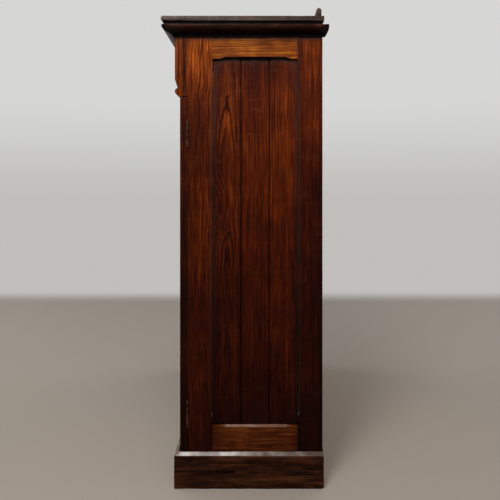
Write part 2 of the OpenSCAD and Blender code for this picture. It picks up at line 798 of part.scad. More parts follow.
module door_bottom_rail() on_door() foot_rail(door_stile_w, door_opening, door_rail_w,
    door_t, door_board_t);

module door_boards() on_door()
    translate([door_stile_w, recess, door_lo - groove_d + board_end_gap])
        boards(door_board_count, door_opening, groove_d - board_end_gap,
            door_hi - door_lo + 2 * (groove_d - board_end_gap), door_board_t);

module left_door_hinge_stile() color(stained) left() door_hinge_stile();
module right_door_hinge_stile() color(stained) door_hinge_stile();
module left_door_meeting_stile() color(stained) left() door_meeting_stile();
module left_door_top_rail() color(stained) left() door_top_rail();
module right_door_top_rail() color(stained) door_top_rail();
module left_door_bottom_rail() color(stained) left() door_bottom_rail();
module right_door_bottom_rail() color(stained) door_bottom_rail();
module left_door_boards() color(stained) left() door_boards();
module right_door_boards() color(stained) door_boards();

module right_door_meeting_stile() color(stained) difference() {
    door_meeting_stile();
    keyhole(door_front - over, door_back + over);
    translate([key_x, door_front - over, key_z + knob_up]) along_y()
        cylinder(r = spigot_r + joint_fit, h = spigot_l + over + joint_fit);
}

// Turned knob with a spigot let into the stile
module door_knob() {
    throat = [knob_neck_r, knob_neck_l];
    crown = knob_neck_l + knob_l;
    color(brass) translate([key_x, door_front, key_z + knob_up]) rotate([90, 0, 0])
        rotate_extrude() polygon(concat(
            [[0, -spigot_l], [spigot_r, -spigot_l], [spigot_r, 0], [knob_foot_r, 0],
                [knob_foot_r, knob_foot_t]],
            curve([knob_neck_r, (knob_foot_t + knob_neck_l) / 2], throat, throat,
                [knob_r * 0.8, knob_neck_l + knob_l * 0.1]),
            curve([knob_r, crown - knob_l / 2], [knob_r, crown - knob_l * 0.22],
                [knob_r * 0.55, crown], [0, crown])));
}

module keyhole_plate() color(brass) difference() {
    translate([key_x, door_front - plate_t, key_z]) along_y() cylinder(r = plate_r, h = plate_t);
    keyhole(door_front - plate_t - over, door_front + over);
}

// Lock case: a shell with a rib that guides the tail of the bolt
module bolt_slot(x0, x1) translate([x0, lock_bolt_y - lock_fit, lock_bolt_z - lock_fit])
    cube([x1 - x0, lock_bolt_t + 2 * lock_fit, lock_bolt_h + 2 * lock_fit]);

module lock_case() color(iron) difference() {
    translate([lock_x, door_back, key_z - key_up]) cube([lock_w, lock_t, lock_h]);
    difference() {
        translate([lock_x, door_back, key_z - key_up] + lock_wall * [1, 1, 1])
            cube([lock_w, lock_t, lock_h] - 2 * lock_wall * [1, 1, 1]);
        translate([lock_x + rib_set, door_back, key_z - key_up]) cube([rib_t, lock_t, lock_h]);
    }
    bolt_slot(lock_x - over, lock_x + lock_wall + over);
    bolt_slot(lock_x + rib_set - over, lock_x + rib_set + rib_t + over);
    keyhole(door_back - over, door_back + lock_wall + over);
}

module lock_bolt() color(brass) translate([lock_x, lock_bolt_y, lock_bolt_z])
    cube([lock_bolt_l, lock_bolt_t, lock_bolt_h]);

module lock_keeper() color(iron) difference() {
    translate([-lock_x - keeper_w, door_back, lock_bolt_z - keeper_wall])
        cube([keeper_w, lock_t, lock_bolt_h + 2 * keeper_wall]);
    bolt_slot(-lock_x - keeper_w + lock_wall, -lock_x + over);
}

// Key, standing in the lock with its bit down
module key() {
    bow_y = door_front - bow_out;
    bit_y = door_back + (lock_t - bit_w) / 2;
    color(iron) translate([key_x, 0, key_z]) {
        translate([0, bow_y + bow_r, 0]) along_y()
            cylinder(r = key_r, h = key_tip_y - bow_y - bow_r);
        translate([-bit_t / 2, bit_y, -bit_r]) cube([bit_t, bit_w, bit_r]);
        translate([0, bow_y, 0]) rotate([0, 90, 0]) rotate_extrude()
            translate([bow_r, 0]) circle(bow_t / 2);
    }
}

// Door bolt, drawn along Z with its tip at the origin and the door behind it at -Y
module rod() {
    translate([0, 0, -rod_l]) cylinder(r = rod_r, h = rod_l);
    translate([0, 0, -rod_l / 2]) along_y() cylinder(r = thumb_r, h = rod_r + thumb_l);
}

module rod_guides() difference() {
    union() {
        translate([-bolt_plate_w / 2, -rod_stand, -plate_back - bolt_plate_l])
            cube([bolt_plate_w, bolt_plate_t, bolt_plate_l]);
        for (z = [-plate_back - bolt_plate_l, -plate_back - guide_h])
            translate([-guide_w / 2, -rod_stand, z])
                cube([guide_w, rod_stand + rod_r + guide_fit + bolt_plate_t, guide_h]);
    }
    translate([0, 0, -plate_back - bolt_plate_l - over])
        cylinder(r = rod_r + guide_fit, h = bolt_plate_l + 2 * over);
}

module at_top_bolt() translate([rod_x, rod_y, top_tip_z]) children();
module at_bottom_bolt() translate([rod_x, rod_y, bottom_tip_z]) mirror([0, 0, 1]) children();
module top_bolt() color(brass) at_top_bolt() rod();
module bottom_bolt() color(brass) at_bottom_bolt() rod();
module top_bolt_plate() color(brass) at_top_bolt() rod_guides();
module bottom_bolt_plate() color(brass) at_bottom_bolt() rod_guides();

// Plates on the rail and on the bottom board that the bolts enter
module bolt_catches() color(brass) for (z = [front_rail_z - catch_t, floor_z])
    translate([rod_x, rod_y, z]) difference() {
        translate([-catch_l / 2, -rod_stand + door_back_gap + joint_fit, 0])
            cube([catch_l, 2 * rod_stand - 2 * door_back_gap, catch_t]);
        translate([0, 0, -over]) cylinder(r = rod_r + hole_fit, h = catch_t + 2 * over);
    }

right_front_stile();
left_front_stile();
right_rear_stile();
left_rear_stile();
right_top_rail();
left_top_rail();
right_bottom_rail();
left_bottom_rail();
right_side_boards();
left_side_boards();
bottom_board();
back_boards();
back_rail();
front_top_rail();
frieze_board();
frieze_bead();
frieze_blocks();
cornice_front();
cornice_right();
cornice_left();
top_board();
back_gallery();
plinth_front();
plinth_right();
plinth_left();
plinth_back();
plinth_bearers();
plinth_blocks();
top_shelf();
middle_shelf();
bottom_shelf();
shelf_battens();
carcase_hinge_leaves();
hinge_pins();
carcase_hinge_screws();
bolt_catches();
left_door_hinge_stile();
left_door_meeting_stile();
left_door_top_rail();
left_door_bottom_rail();
left_door_boards();
left_door_hinge_leaves();
left_door_hinge_screws();
top_bolt_plate();
bottom_bolt_plate();
lock_keeper();
right_door_hinge_stile();
right_door_meeting_stile();
right_door_top_rail();
right_door_bottom_rail();
right_door_boards();
right_door_hinge_leaves();
right_door_hinge_screws();
lock_case();
keyhole_plate();
door_knob();
top_bolt();
bottom_bolt();
lock_bolt();
key();
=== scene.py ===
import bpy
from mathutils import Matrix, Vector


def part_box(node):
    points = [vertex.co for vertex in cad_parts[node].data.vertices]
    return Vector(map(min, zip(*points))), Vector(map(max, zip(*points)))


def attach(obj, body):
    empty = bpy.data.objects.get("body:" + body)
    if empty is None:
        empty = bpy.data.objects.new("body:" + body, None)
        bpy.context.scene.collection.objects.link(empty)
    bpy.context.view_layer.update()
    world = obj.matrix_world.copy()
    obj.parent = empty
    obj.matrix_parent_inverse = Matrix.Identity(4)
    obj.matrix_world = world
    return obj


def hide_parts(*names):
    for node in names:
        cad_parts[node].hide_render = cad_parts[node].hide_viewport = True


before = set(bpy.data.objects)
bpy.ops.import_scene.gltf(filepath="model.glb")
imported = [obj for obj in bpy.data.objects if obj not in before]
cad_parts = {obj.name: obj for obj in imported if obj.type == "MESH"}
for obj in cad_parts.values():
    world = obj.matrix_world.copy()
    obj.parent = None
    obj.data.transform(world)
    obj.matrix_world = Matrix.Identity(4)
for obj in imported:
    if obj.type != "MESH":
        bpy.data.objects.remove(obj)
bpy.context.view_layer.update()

"""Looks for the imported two-door cupboard: timber, ironmongery, light and camera.

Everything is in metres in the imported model's own frame: +Z is up, the doors face -Y and the
camera looks along -X at the right-hand side.
"""

import logging
import math
import random
from contextlib import contextmanager
from dataclasses import dataclass, field
from enum import Enum
from typing import Callable, Iterator, Optional, Sequence, Union

import bmesh
import bpy
import numpy as np
from mathutils import Matrix, Vector, noise
from mathutils.bvhtree import BVHTree

log = logging.getLogger("cupboard")
MM = 0.001
SEED = 7
REARWARD = (0.0, 1.0, 0.0)
NO_KNOT = (9.0, 9.0, 0.0)
HIDDEN = {"step": 45 * MM, "wear": 0.1 * MM}
Colour = tuple[float, float, float]
Place = tuple[float, float, float]
Socket = bpy.types.NodeSocket
Value = Union["Flow", float, int, tuple, list, None]
Shares = Callable[[np.ndarray], np.ndarray]


def srgb(red: int, green: int, blue: int) -> Colour:
    """Linear colour of an 8-bit display colour."""
    return tuple((c / 255) ** 2.2 for c in (red, green, blue))


def stand(name: str, data: bpy.types.ID) -> bpy.types.Object:
    """Puts a new object in the scene.

    Args:
        name: its name.
        data: what it holds.

    Returns:
        The object.
    """
    made = bpy.data.objects.new(name, data)
    bpy.context.scene.collection.objects.link(made)
    return made


def baked(holder: bpy.types.Object, *spares: bpy.types.Object) -> bpy.types.Mesh:
    """Turns an object and its modifiers into a plain mesh.

    Args:
        holder: the object, which is removed.
        spares: helpers that its modifiers read, removed with it.

    Returns:
        The mesh.
    """
    view = bpy.context.evaluated_depsgraph_get()
    mesh = bpy.data.meshes.new_from_object(holder.evaluated_get(view))
    for made in (holder, *spares):
        bpy.data.objects.remove(made)
    return mesh


@contextmanager
def editing(mesh: bpy.types.Mesh, source: Optional[bpy.types.Mesh] = None,
            ) -> Iterator[bmesh.types.BMesh]:
    """Opens a mesh for editing and writes it back.

    Args:
        mesh: the mesh to write.
        source: another mesh to start from.

    Yields:
        The open mesh.
    """
    bm = bmesh.new()
    bm.from_mesh(source or mesh)
    yield bm
    bm.to_mesh(mesh)
    bm.free()


def store(mesh: bpy.types.Mesh, name: str, values: np.ndarray, domain: str = "POINT") -> None:
    """Writes numbers or vectors on a mesh as an attribute.

    Args:
        mesh: the mesh.
        name: the attribute's name.
        values: one number or one vector for each point or face.
        domain: POINT or FACE.
    """
    kind, key = ("FLOAT", "value") if values.ndim == 1 else ("FLOAT_VECTOR", "vector")
    mesh.attributes.new(name, kind, domain).data.foreach_set(key, values.ravel())


class Axis(Enum):
    """Axis of the frame along which a board's grain runs."""

    X = 0
    Y = 1
    Z = 2


class Hand(Enum):
    """Right-hand or left-hand piece, with the sign of its X."""

    RIGHT = 1
    LEFT = -1

    @property
    def side(self) -> str:
        """The word that its nodes' names use."""
        return self.name.lower()

    def mirror(self, place: Matrix) -> Matrix:
        """A placing on the right-hand side, turned over for this hand."""
        return Matrix.Diagonal((self.value, 1, 1, 1)) @ place


def sideways(x: float, y: float, z: float) -> Matrix:
    """Placing of a piece made along +X so that it runs along +Y and faces +X."""
    return Matrix(((0, -1, 0, x), (1, 0, 0, y), (0, 0, 1, z), (0, 0, 0, 1)))


@dataclass(frozen=True)
class Figure:
    """How one board was sawn from its log, and how it has coloured.

    Attributes:
        aside: distance from the board's middle line to the pith.
        deep: depth of the pith below the face at the board's low end.
        tilt: slope of the pith away from the face, in metres per metre.
        tone: brightness of the board.
        warmth: shift of its colour: below zero is redder.
        knot: place along and across the board and strength of a knot, or None.
        lines: strength of its latewood lines.
        waves: strength of their waves.
    """

    aside: float = 0.08
    deep: float = 0.05
    tilt: float = 0.006
    tone: float = 1.0
    warmth: float = 0.0
    knot: Optional[Place] = None
    lines: float = 1.0
    waves: float = 1.0


class Cut(Enum):
    """The usual ways to saw a board: its pith's place aside, depth and tilt."""

    HEART = (0.004, 0.028, 0.050)
    FLAT = (0.020, 0.050, 0.020)
    RIFT = (0.075, 0.060, 0.008)
    QUARTER = (0.150, 0.014, 0.003)

    def board(self, tone: float = 1.0) -> Figure:
        """A board cut this way."""
        return Figure(*self.value, tone)


@dataclass(frozen=True)
class StainAndShade:
    """A lighter or darker place on a side, in millimetres: some are stains in the wood, some
    painted shade.

    Attributes:
        y: its middle, from front to back.
        z: its middle, upwards.
        wide: how far it spreads to the front and the back.
        high: how far it spreads up and down.
        tone: the factor on the brightness in its middle.
    """

    y: float
    z: float
    wide: float
    high: float
    tone: float

    def share(self, points: np.ndarray) -> np.ndarray:
        """The factor on the brightness at points.

        Args:
            points: their places in metres.

        Returns:
            One factor for each point.
        """
        far = ((points[:, 1] / MM - self.y) / self.wide) ** 2
        far += ((points[:, 2] / MM - self.z) / self.high) ** 2
        return 1 + (self.tone - 1) * np.exp(-far)


@dataclass(frozen=True)
class Timber:
    """How a piece's boards are cut, worn and dirtied, and where shade is painted on them.

    Attributes:
        axis: the grain's direction.
        figures: the boards' figures, used in turn.
        exact: whether the figures are used as they stand, without chance.
        edge: width of the rounding on its edges.
        step: distance between the points that carry dirt, painted shade and wear.
        wear: depth of the unevenness of its faces.
        under: share of painted shade on faces that look down.
        grime: share of added dirt and painted shade at each of a set of points.
        stains: lighter and darker places: stains, and painted shade.
    """

    axis: Axis = Axis.Z
    figures: Sequence[Figure] = (Cut.RIFT.board(),)
    exact: bool = False
    edge: float = 0.8 * MM
    step: float = 25 * MM
    wear: float = 0.15 * MM
    under: float = 0.0
    grime: Optional[Shares] = None
    stains: Sequence[StainAndShade] = ()


def reckon(operation: str, turned: bool = False) -> Callable[["Flow", Value], "Flow"]:
    """Makes an operator of flows, which places one Math node.

    Args:
        operation: the node's operation.
        turned: whether the other value comes first.

    Returns:
        The operator.
    """
    def place(one: "Flow", other: Value = None) -> "Flow":
        """Output of the node."""
        return one.bench.math(operation, *((other, one) if turned else (one, other)))
    return place


class Flow:
    """What comes out of a node: a sum made with it places a Math node on its bench."""

    def __init__(self, bench: "Bench", socket: Socket) -> None:
        """Keeps the bench and the output socket."""
        self.bench = bench
        self.socket = socket

    __add__ = __radd__ = reckon("ADD")
    __sub__ = reckon("SUBTRACT")
    __rsub__ = reckon("SUBTRACT", turned=True)
    __mul__ = __rmul__ = reckon("MULTIPLY")
    __truediv__ = reckon("DIVIDE")
    __pow__ = reckon("POWER")
    __abs__ = reckon("ABSOLUTE")
    __lt__ = reckon("LESS_THAN")
    __gt__ = reckon("GREATER_THAN")
    at_most = reckon("MINIMUM")
    at_least = reckon("MAXIMUM")

    def __neg__(self) -> "Flow":
        """This with its sign turned."""
        return self * -1.0

    def band(self, low: float, high: float, start: float = 0.0, end: float = 1.0) -> "Flow":
        """Smooth step from start, where this is low, to end, where it is high."""
        return self.bench.add("ShaderNodeMapRange", {0: self, 1: low, 2: high, 3: start, 4: end},
                              interpolation_type="SMOOTHSTEP")

    def beside(self, output: Union[str, int]) -> "Flow":
        """Another output of the same node."""
        return Flow(self.bench, self.socket.node.outputs[output])

    def split(self) -> tuple["Flow", "Flow", "Flow"]:
        """The three parts of this vector."""
        x = self.bench.add("ShaderNodeSeparateXYZ", {0: self})
        return x, x.beside(1), x.beside(2)


class Bench:
    """Places nodes in one tree and wires them."""

    def __init__(self, tree: bpy.types.NodeTree) -> None:
        """Keeps the tree."""
        self.tree = tree

    def wire(self, socket: Socket, value: Value) -> None:
        """Links an input to what flows into it, or sets its own value.

        Args:
            socket: the input to fill.
            value: a flow, a list of flows, a plain value, or None to leave it as it is.
        """
        if isinstance(value, Flow):
            self.tree.links.new(value.socket, socket)
        elif isinstance(value, list):
            for each in value:
                self.wire(socket, each)
        elif value is not None:
            plain = socket.type == "RGBA" and isinstance(value, tuple) and len(value) == 3
            socket.default_value = (*value, 1.0) if plain else value

    def node(self, kind: str, inputs: Optional[dict] = None, **settings: object,
             ) -> bpy.types.Node:
        """Places a node.

        Args:
            kind: the node's type name.
            inputs: values by input name or number.
            settings: the node's own properties.

        Returns:
            The node.
        """
        node = self.tree.nodes.new(kind)
        for name, value in settings.items():
            setattr(node, name, value)
        for key, value in (inputs or {}).items():
            self.wire(node.inputs[key], value)
        return node

    def add(self, kind: str, inputs: Optional[dict] = None, output: Union[str, int] = 0,
            **settings: object) -> Flow:
        """Places a node, as node does, and gives what flows out of one of its outputs."""
        return Flow(self, self.node(kind, inputs, **settings).outputs[output])

    def math(self, operation: str, a: Value, b: Value = None) -> Flow:
        """Output of a Math node."""
        return self.add("ShaderNodeMath", {0: a, 1: b}, operation=operation)

    def vector(self, operation: str, a: Value, b: Value = None) -> Flow:
        """Output of a Vector Math node.

        Args:
            operation: its operation.
            a: its first vector.
            b: its second vector, or the factor of SCALE.

        Returns:
            The vector, or the number that LENGTH gives.
        """
        slot = 3 if operation == "SCALE" else 1
        output = "Value" if operation == "LENGTH" else "Vector"
        return self.add("ShaderNodeVectorMath", {0: a, slot: b}, output, operation=operation)

    def join(self, x: Value, y: Value, z: Value) -> Flow:
        """A vector from its three parts."""
        return self.add("ShaderNodeCombineXYZ", {0: x, 1: y, 2: z})

    def blend(self, share: Value, a: Value, b: Value) -> Flow:
        """Mix of two colours."""
        return self.add("ShaderNodeMix", {0: share, 6: a, 7: b}, 2, data_type="RGBA")

    def noise(self, vector: Value, scale: float = 1.0, detail: float = 2.0,
              output: str = "Fac") -> Flow:
        """Output of a noise texture, about 0.5 in the middle."""
        return self.add("ShaderNodeTexNoise",
                        {"Vector": vector, "Scale": scale, "Detail": detail}, output)

    def sway(self, vector: Value, reach: Value, detail: float = 2.0) -> Flow:
        """A wandering vector, up to about half of reach to either side."""
        turn = self.vector("SUBTRACT", self.noise(vector, 1.0, detail, "Color"), (0.5,) * 3)
        return self.vector("SCALE", turn, reach)


class Group(Bench):
    """A node group in the making."""

    def __init__(self, name: str, kind: str, inputs: Sequence[tuple]) -> None:
        """Starts the group.

        Args:
            name: its name.
            kind: ShaderNodeTree or GeometryNodeTree.
            inputs: name and socket kind, such as Float, and a default where it has one.
        """
        super().__init__(bpy.data.node_groups.new(name, kind))
        for label, socket, *default in inputs:
            item = self.tree.interface.new_socket(label, in_out="INPUT",
                                                  socket_type="NodeSocket" + socket)
            if default:
                item.default_value = default[0]
        given = self.node("NodeGroupInput")
        self.given = {label: Flow(self, given.outputs[label]) for label, *_ in inputs}

    def close(self, kind: str = "Float", **outputs: Flow) -> bpy.types.NodeTree:
        """Makes the group's outputs.

        Args:
            kind: their socket kind.
            outputs: what flows into each, by its name.

        Returns:
            The group's tree.
        """
        for label in outputs:
            self.tree.interface.new_socket(label, in_out="OUTPUT",
                                           socket_type="NodeSocket" + kind)
        self.node("NodeGroupOutput", outputs)
        return self.tree


class Library:
    """Node groups, each built once by the method of its name."""

    _made: dict[str, bpy.types.NodeTree] = {}

    @classmethod
    def tree(cls, name: str) -> bpy.types.NodeTree:
        """The group of this name.

        Args:
            name: the group's name.

        Returns:
            Its tree.
        """
        if name not in cls._made:
            cls._made[name] = getattr(cls, name)()
        return cls._made[name]


class Effects(Library):
    """Shader groups that several finishes share."""

    @classmethod
    def place(cls, bench: Bench, name: str, **inputs: Value) -> dict[str, Flow]:
        """Places a shared group in a material.

        Args:
            bench: the material's bench.
            name: the group's name.
            inputs: values by input name, with underscores for spaces.

        Returns:
            What flows out of it, by name.
        """
        node = bench.node("ShaderNodeGroup", node_tree=cls.tree(name))
        for key, value in inputs.items():
            bench.wire(node.inputs[key.replace("_", " ")], value)
        return {socket.name: Flow(bench, socket) for socket in node.outputs}

    @staticmethod
    def pine_figure() -> bpy.types.NodeTree:
        """Growth rings about a wandering pith, cut by the board's own faces.

        Returns:
            The group's tree.
        """
        b = Group("pine_figure", "ShaderNodeTree", [
            ("Board", "Vector"), ("Pith", "Vector"), ("Knot", "Vector"), ("Seed", "Float", 0.0),
            ("Ring Pitch", "Float", 0.004), ("Waves", "Float", 1.0)])
        along, across, through = b.given["Board"].split()
        aside, deep, tilt = b.given["Pith"].split()
        knot_along, knot_across, knot_size = b.given["Knot"].split()
        boards_apart = 37.0
        seed = b.given["Seed"] * boards_apart

        def spread(long: float, wide: float) -> Flow:
            """The place on the board, for a noise with so many waves to a metre."""
            return b.join(along * long, across * wide, seed)

        slow_waves, slow_reach, quick_reach = 2.4, 26 * MM, 5.8 * MM
        slow = b.sway(b.join(along * slow_waves, seed, 0.0), slow_reach)
        quick = b.sway(spread(13.0, 30.0), b.given["Waves"] * quick_reach, detail=5.0)
        sway_y, sway_z, _ = b.vector("ADD", slow, quick).split()
        y = across - aside + sway_y
        z = through + deep + along * tilt + sway_z
        pointed = 1.65
        radius = (abs(y) ** pointed + abs(z) ** pointed) ** (1 / pointed)
        slender, knot_reach, knot_swell = 0.34, 34 * MM, 10 * MM
        off = b.vector("LENGTH", b.join((along - knot_along) * slender,
                                        across - knot_across, 0.0))
        radius = off.band(knot_reach, 0.0) * knot_size * knot_swell + radius

        drawn_out, uneven_waves, uneven_years = 0.02, 62.0, 2.2
        uneven = b.noise(b.join(along * drawn_out, radius, seed), uneven_waves, detail=1.0)
        years = uneven * uneven_years + radius / b.given["Ring Pitch"]
        phase = b.math("FRACT", years)
        year = b.add("ShaderNodeTexWhiteNoise", {"W": b.math("FLOOR", years) + seed},
                     noise_dimensions="1D")
        late_from, late_full, year_ends = 0.32, 0.88, 0.95
        faintest_year, faintest_place = 0.2, 0.35
        ring = phase.band(late_from, late_full) * phase.band(1.0, year_ends)
        ring = ring * (year * (1 - faintest_year) + faintest_year)
        ring = ring * b.noise(spread(5.0, 32.0), detail=3.0).band(0.3, 0.64, faintest_place)

        bent = across + quick.split()[0]
        waves = {"Streak": (1.3, 150.0, 60.0, 4.0), "Fibre": (7.0, 520.0, 520.0, 3.0),
                 "Fleck": (15.0, 300.0, 300.0, 2.0)}
        marks = {key: b.noise(b.join(along * long, bent * wide, through * high + seed),
                              detail=detail)
                 for key, (long, wide, high, detail) in waves.items()}
        cell = b.add("ShaderNodeTexVoronoi", {"Vector": spread(8.0, 52.0), "Scale": 1.0})
        empty_cells, pocket_dark, knot_dark = 0.88, 0.7, 0.9
        pocket = cell.band(0.14, 0.07) * (cell.beside("Color").split()[0] > empty_cells)
        core = off.band(8 * MM, 3 * MM) * knot_size.at_most(knot_dark)
        return b.close(Latewood=ring, **marks, Core=core.at_least(pocket * pocket_dark),
                       Height=ring * 0.6 + marks["Fibre"] * 0.5)

    @staticmethod
    def patina() -> bpy.types.NodeTree:
        """Painted shade that darkens towards the floor, standing in for light that falls off
        downwards, times cloudy patches of old polish.

        Returns:
            The group's tree.
        """
        b = Group("patina", "ShaderNodeTree", [
            ("Position", "Vector"), ("Low", "Float", 0.2), ("Clouds", "Float", 0.5),
            ("Size", "Vector"), ("Top Height", "Float", 1.08)])
        small_waves, small_share, fall_curve = 3.8, 0.4, 0.75
        place = b.vector("MULTIPLY", b.given["Position"], b.given["Size"])
        broad, small = (b.noise(place, waves, 3.0) for waves in (1.0, small_waves))
        cloud = (small * small_share + broad * (1 - small_share)).band(0.34, 0.66)
        height = b.given["Position"].split()[2] / b.given["Top Height"]
        # Painted shade: darker towards the floor.
        shade = b.given["Low"] ** ((1.0 - height).at_least(0.0) ** fall_curve)
        return b.close(Shade=shade * ((cloud - 0.5) * b.given["Clouds"] + 1.0))

    @staticmethod
    def knocks() -> bpy.types.NodeTree:
        """Rubs, scratches and dents from use.

        Returns:
            The group's tree.
        """
        b = Group("knocks", "ShaderNodeTree", [
            ("Position", "Vector"), ("Amount", "Float", 0.3), ("Wear", "Float", 0.0)])
        position, amount = b.given["Position"], b.given["Amount"]
        coarse_waves, drag_waves, pits_per_metre = 24.0, (30.0, 16.0, 95.0), 55.0
        coarse = b.noise(position, coarse_waves, 5.0)
        drag = b.noise(b.vector("MULTIPLY", position, drag_waves), detail=3.0)
        rub = coarse.band(0.5, 0.68) * drag.band(0.44, 0.68)
        pits = b.add("ShaderNodeTexVoronoi", {"Vector": position, "Scale": pits_per_metre})
        dent = pits.band(0.24, 0.08) * coarse.band(0.52, 0.6)
        return b.close(Rub=rub * amount, Dent=dent * amount,
                       Edge=b.given["Wear"] * coarse.band(0.38, 0.62), Patches=coarse)

    @staticmethod
    def tarnish() -> bpy.types.NodeTree:
        """Brown film and dark specks on old metal.

        Returns:
            The group's tree.
        """
        b = Group("tarnish", "ShaderNodeTree", [
            ("Position", "Vector"), ("Amount", "Float", 0.6)])
        waves = ((90.0, 4.0), (640.0, 2.0), (1500.0, 2.0))
        film, specks, grain = (b.noise(b.given["Position"], scale, detail)
                               for scale, detail in waves)
        return b.close(Film=film.band(0.36, 0.64) * b.given["Amount"],
                       Specks=specks.band(0.56, 0.7), Grain=grain)


def new_material(name: str) -> tuple[bpy.types.Material, Bench, bpy.types.Node]:
    """Starts a material.

    Args:
        name: its name.

    Returns:
        The material, its bench and its shader.
    """
    material = bpy.data.materials.new(name)
    material.use_nodes = True
    bench = Bench(material.node_tree)
    return material, bench, material.node_tree.nodes["Principled BSDF"]


@dataclass(frozen=True)
class Coating:
    """What a surface is finished with.

    Attributes:
        name: material name.
    """

    name: str

    def dress(self, b: Bench, position: Flow) -> dict[str, Value]:
        """The shader's inputs by name, made on a bench from the place on the object."""
        raise NotImplementedError

    def material(self) -> bpy.types.Material:
        """The finish as a material, made once.

        Returns:
            The material.
        """
        if self.name not in bpy.data.materials:
            _, b, shader = new_material(self.name)
            position = b.add("ShaderNodeTexCoord", output="Object")
            for key, value in self.dress(b, position).items():
                b.wire(shader.inputs[key], value)
        return bpy.data.materials[self.name]


@dataclass(frozen=True)
class PineFinish(Coating):
    """Pitch pine under one kind of finish.

    Attributes:
        light: colour of the earlywood where the finish is brightest.
        stain: power by which each of its colour parts falls as the finish deepens.
        late: darkness of the latewood.
        streaks: darkness of the long streaks.
        flecks: strength of its fibres and short flecks.
        dust_and_shade: colour of thin dirt and of light painted shade.
        soil_and_shadow: colour of the dirt packed in its corners and of deep painted shade.
        bare: colour of rubbed edges.
        low: share of the brightness that the painted shade leaves at the floor.
        clouds: strength of the cloudy patches.
        cloud_size: how many of them there are to a metre along X, Y and Z.
        dust_and_highlight: share of pale dust and painted highlight on slopes that face up.
        pale: colour of that dust and highlight.
        knocks: strength of rubs and dents.
        roughness: roughness of the plain faces.
        specular: Principled specular level.
        gloss: coat weight on burnished slopes.
        flat_gloss: coat weight on plain faces.
        coat_roughness: roughness of that coat.
        pitch: width of a year's growth.
    """

    light: Colour
    stain: Colour = (1.0, 1.3, 1.15)
    late: float = 0.82
    streaks: float = 0.55
    flecks: float = 0.38
    dust_and_shade: Colour = srgb(80, 57, 49)
    soil_and_shadow: Colour = srgb(12, 5, 3)
    bare: Colour = srgb(138, 92, 62)
    low: float = 0.085
    clouds: float = 0.65
    cloud_size: tuple[float, float, float] = (9.0, 9.0, 6.5)
    dust_and_highlight: float = 0.3
    pale: Colour = srgb(150, 134, 124)
    knocks: float = 0.3
    roughness: float = 0.42
    specular: float = 0.05
    gloss: float = 0.4
    flat_gloss: float = 0.03
    coat_roughness: float = 0.2
    pitch: float = 5.0 * MM

    def wood(self, b: Bench, figure: dict[str, Flow], shade: Flow, warmth: Flow,
             lines: Flow) -> Flow:
        """The colour of clean wood under its finish.

        Args:
            b: the material's bench.
            figure: what flows out of the pine figure.
            shade: the brightness that the painted floor shade, the cloudy patina and the board's
                tone leave.
            warmth: the board's shift of colour.
            lines: the strength of its latewood lines and streaks.

        Returns:
            The colour.
        """
        most_late, core_share, pale_streak = 0.9, 0.85, 1.45
        reach = {"Fibre": (0.3, 0.7, 0.8), "Fleck": (0.33, 0.67, 1.0)}
        green_warms, blue_warms = 0.45, 3.4
        film = shade.band(0.06, 0.4, 0.55, 1.0)
        dark = figure["Streak"].band(0.5, 0.74) * self.streaks * lines.at_most(1.0)
        dark = film * dark.at_least(figure["Core"] * core_share)
        late = figure["Latewood"] * (lines * film * self.late)
        shade = shade * (1.0 - late.at_most(most_late)) * (1.0 - dark)
        shade = shade * figure["Streak"].band(0.49, 0.3, 1.0, pale_streak)
        for key, (low, high, most) in reach.items():
            share = most * self.flecks
            shade = shade * figure[key].band(low, high, 1 - share, 1 + share)
        red, green, blue = (shade ** power for power in self.stain)
        green = green * (warmth * green_warms + 1.0)
        blue = blue * (warmth * blue_warms + 1.0)
        return b.vector("MULTIPLY", self.light, b.join(red, green, blue))

    def dress(self, b: Bench, position: Flow) -> dict[str, Value]:
        """The shader's inputs.

        Args:
            b: the material's bench.
            position: the place on the object.

        Returns:
            Values by input name.
        """
        board, pith, knot, cast, strength, touch = (
            b.add("ShaderNodeAttribute", output="Vector", attribute_name=key)
            for key in ("board", "pith", "knot", "cast", "lines", "touch"))
        grime = b.add("ShaderNodeAttribute", output="Fac", attribute_name="grime")
        tone, seed, warmth = cast.split()
        lines, waves, _ = strength.split()
        polish, wear, ledge = touch.split()
        figure = Effects.place(b, "pine_figure", Board=board, Pith=pith, Knot=knot, Seed=seed,
                               Ring_Pitch=self.pitch, Waves=waves)
        # Painted shade towards the floor, with clouds of old polish.
        patina = Effects.place(b, "patina", Position=position, Low=self.low,
                               Clouds=self.clouds, Size=self.cloud_size)["Shade"]
        knocks = Effects.place(b, "knocks", Position=position, Amount=self.knocks, Wear=wear)
        patches = knocks["Patches"]

        colour = self.wood(b, figure, patina * tone, warmth, lines)
        worn = b.vector("SCALE", self.bare, patina * 0.9 + 0.1)
        for key, share in (("Rub", 0.6), ("Edge", 0.4)):
            colour = b.blend(knocks[key] * share, colour, worn)
        # Dirt and painted shade: real dirt, with painted shade in hollows, on faces that look
        # down and under the cornice.
        dirt_and_shade = b.add("ShaderNodeClamp", {0: grime * patches.band(0.3, 0.6, 1.15, 0.8)})
        dust_and_shade_falls = (1.0, 1.25, 1.2)
        dust_and_shade = b.vector("MULTIPLY", self.dust_and_shade, b.join(*(patina ** p for p in dust_and_shade_falls)))
        colour = b.blend(dirt_and_shade.band(0.05, 0.6, 0.0, 0.75), colour, dust_and_shade)
        colour = b.blend(dirt_and_shade.band(0.5, 0.9), colour, self.soil_and_shadow)
        # Pale on upward slopes: settled dust and a painted highlight.
        dust_and_highlight = ledge * patches.band(0.35, 0.62, 1.2, 0.3)
        colour = b.blend(dust_and_highlight * self.dust_and_highlight, colour, self.pale)

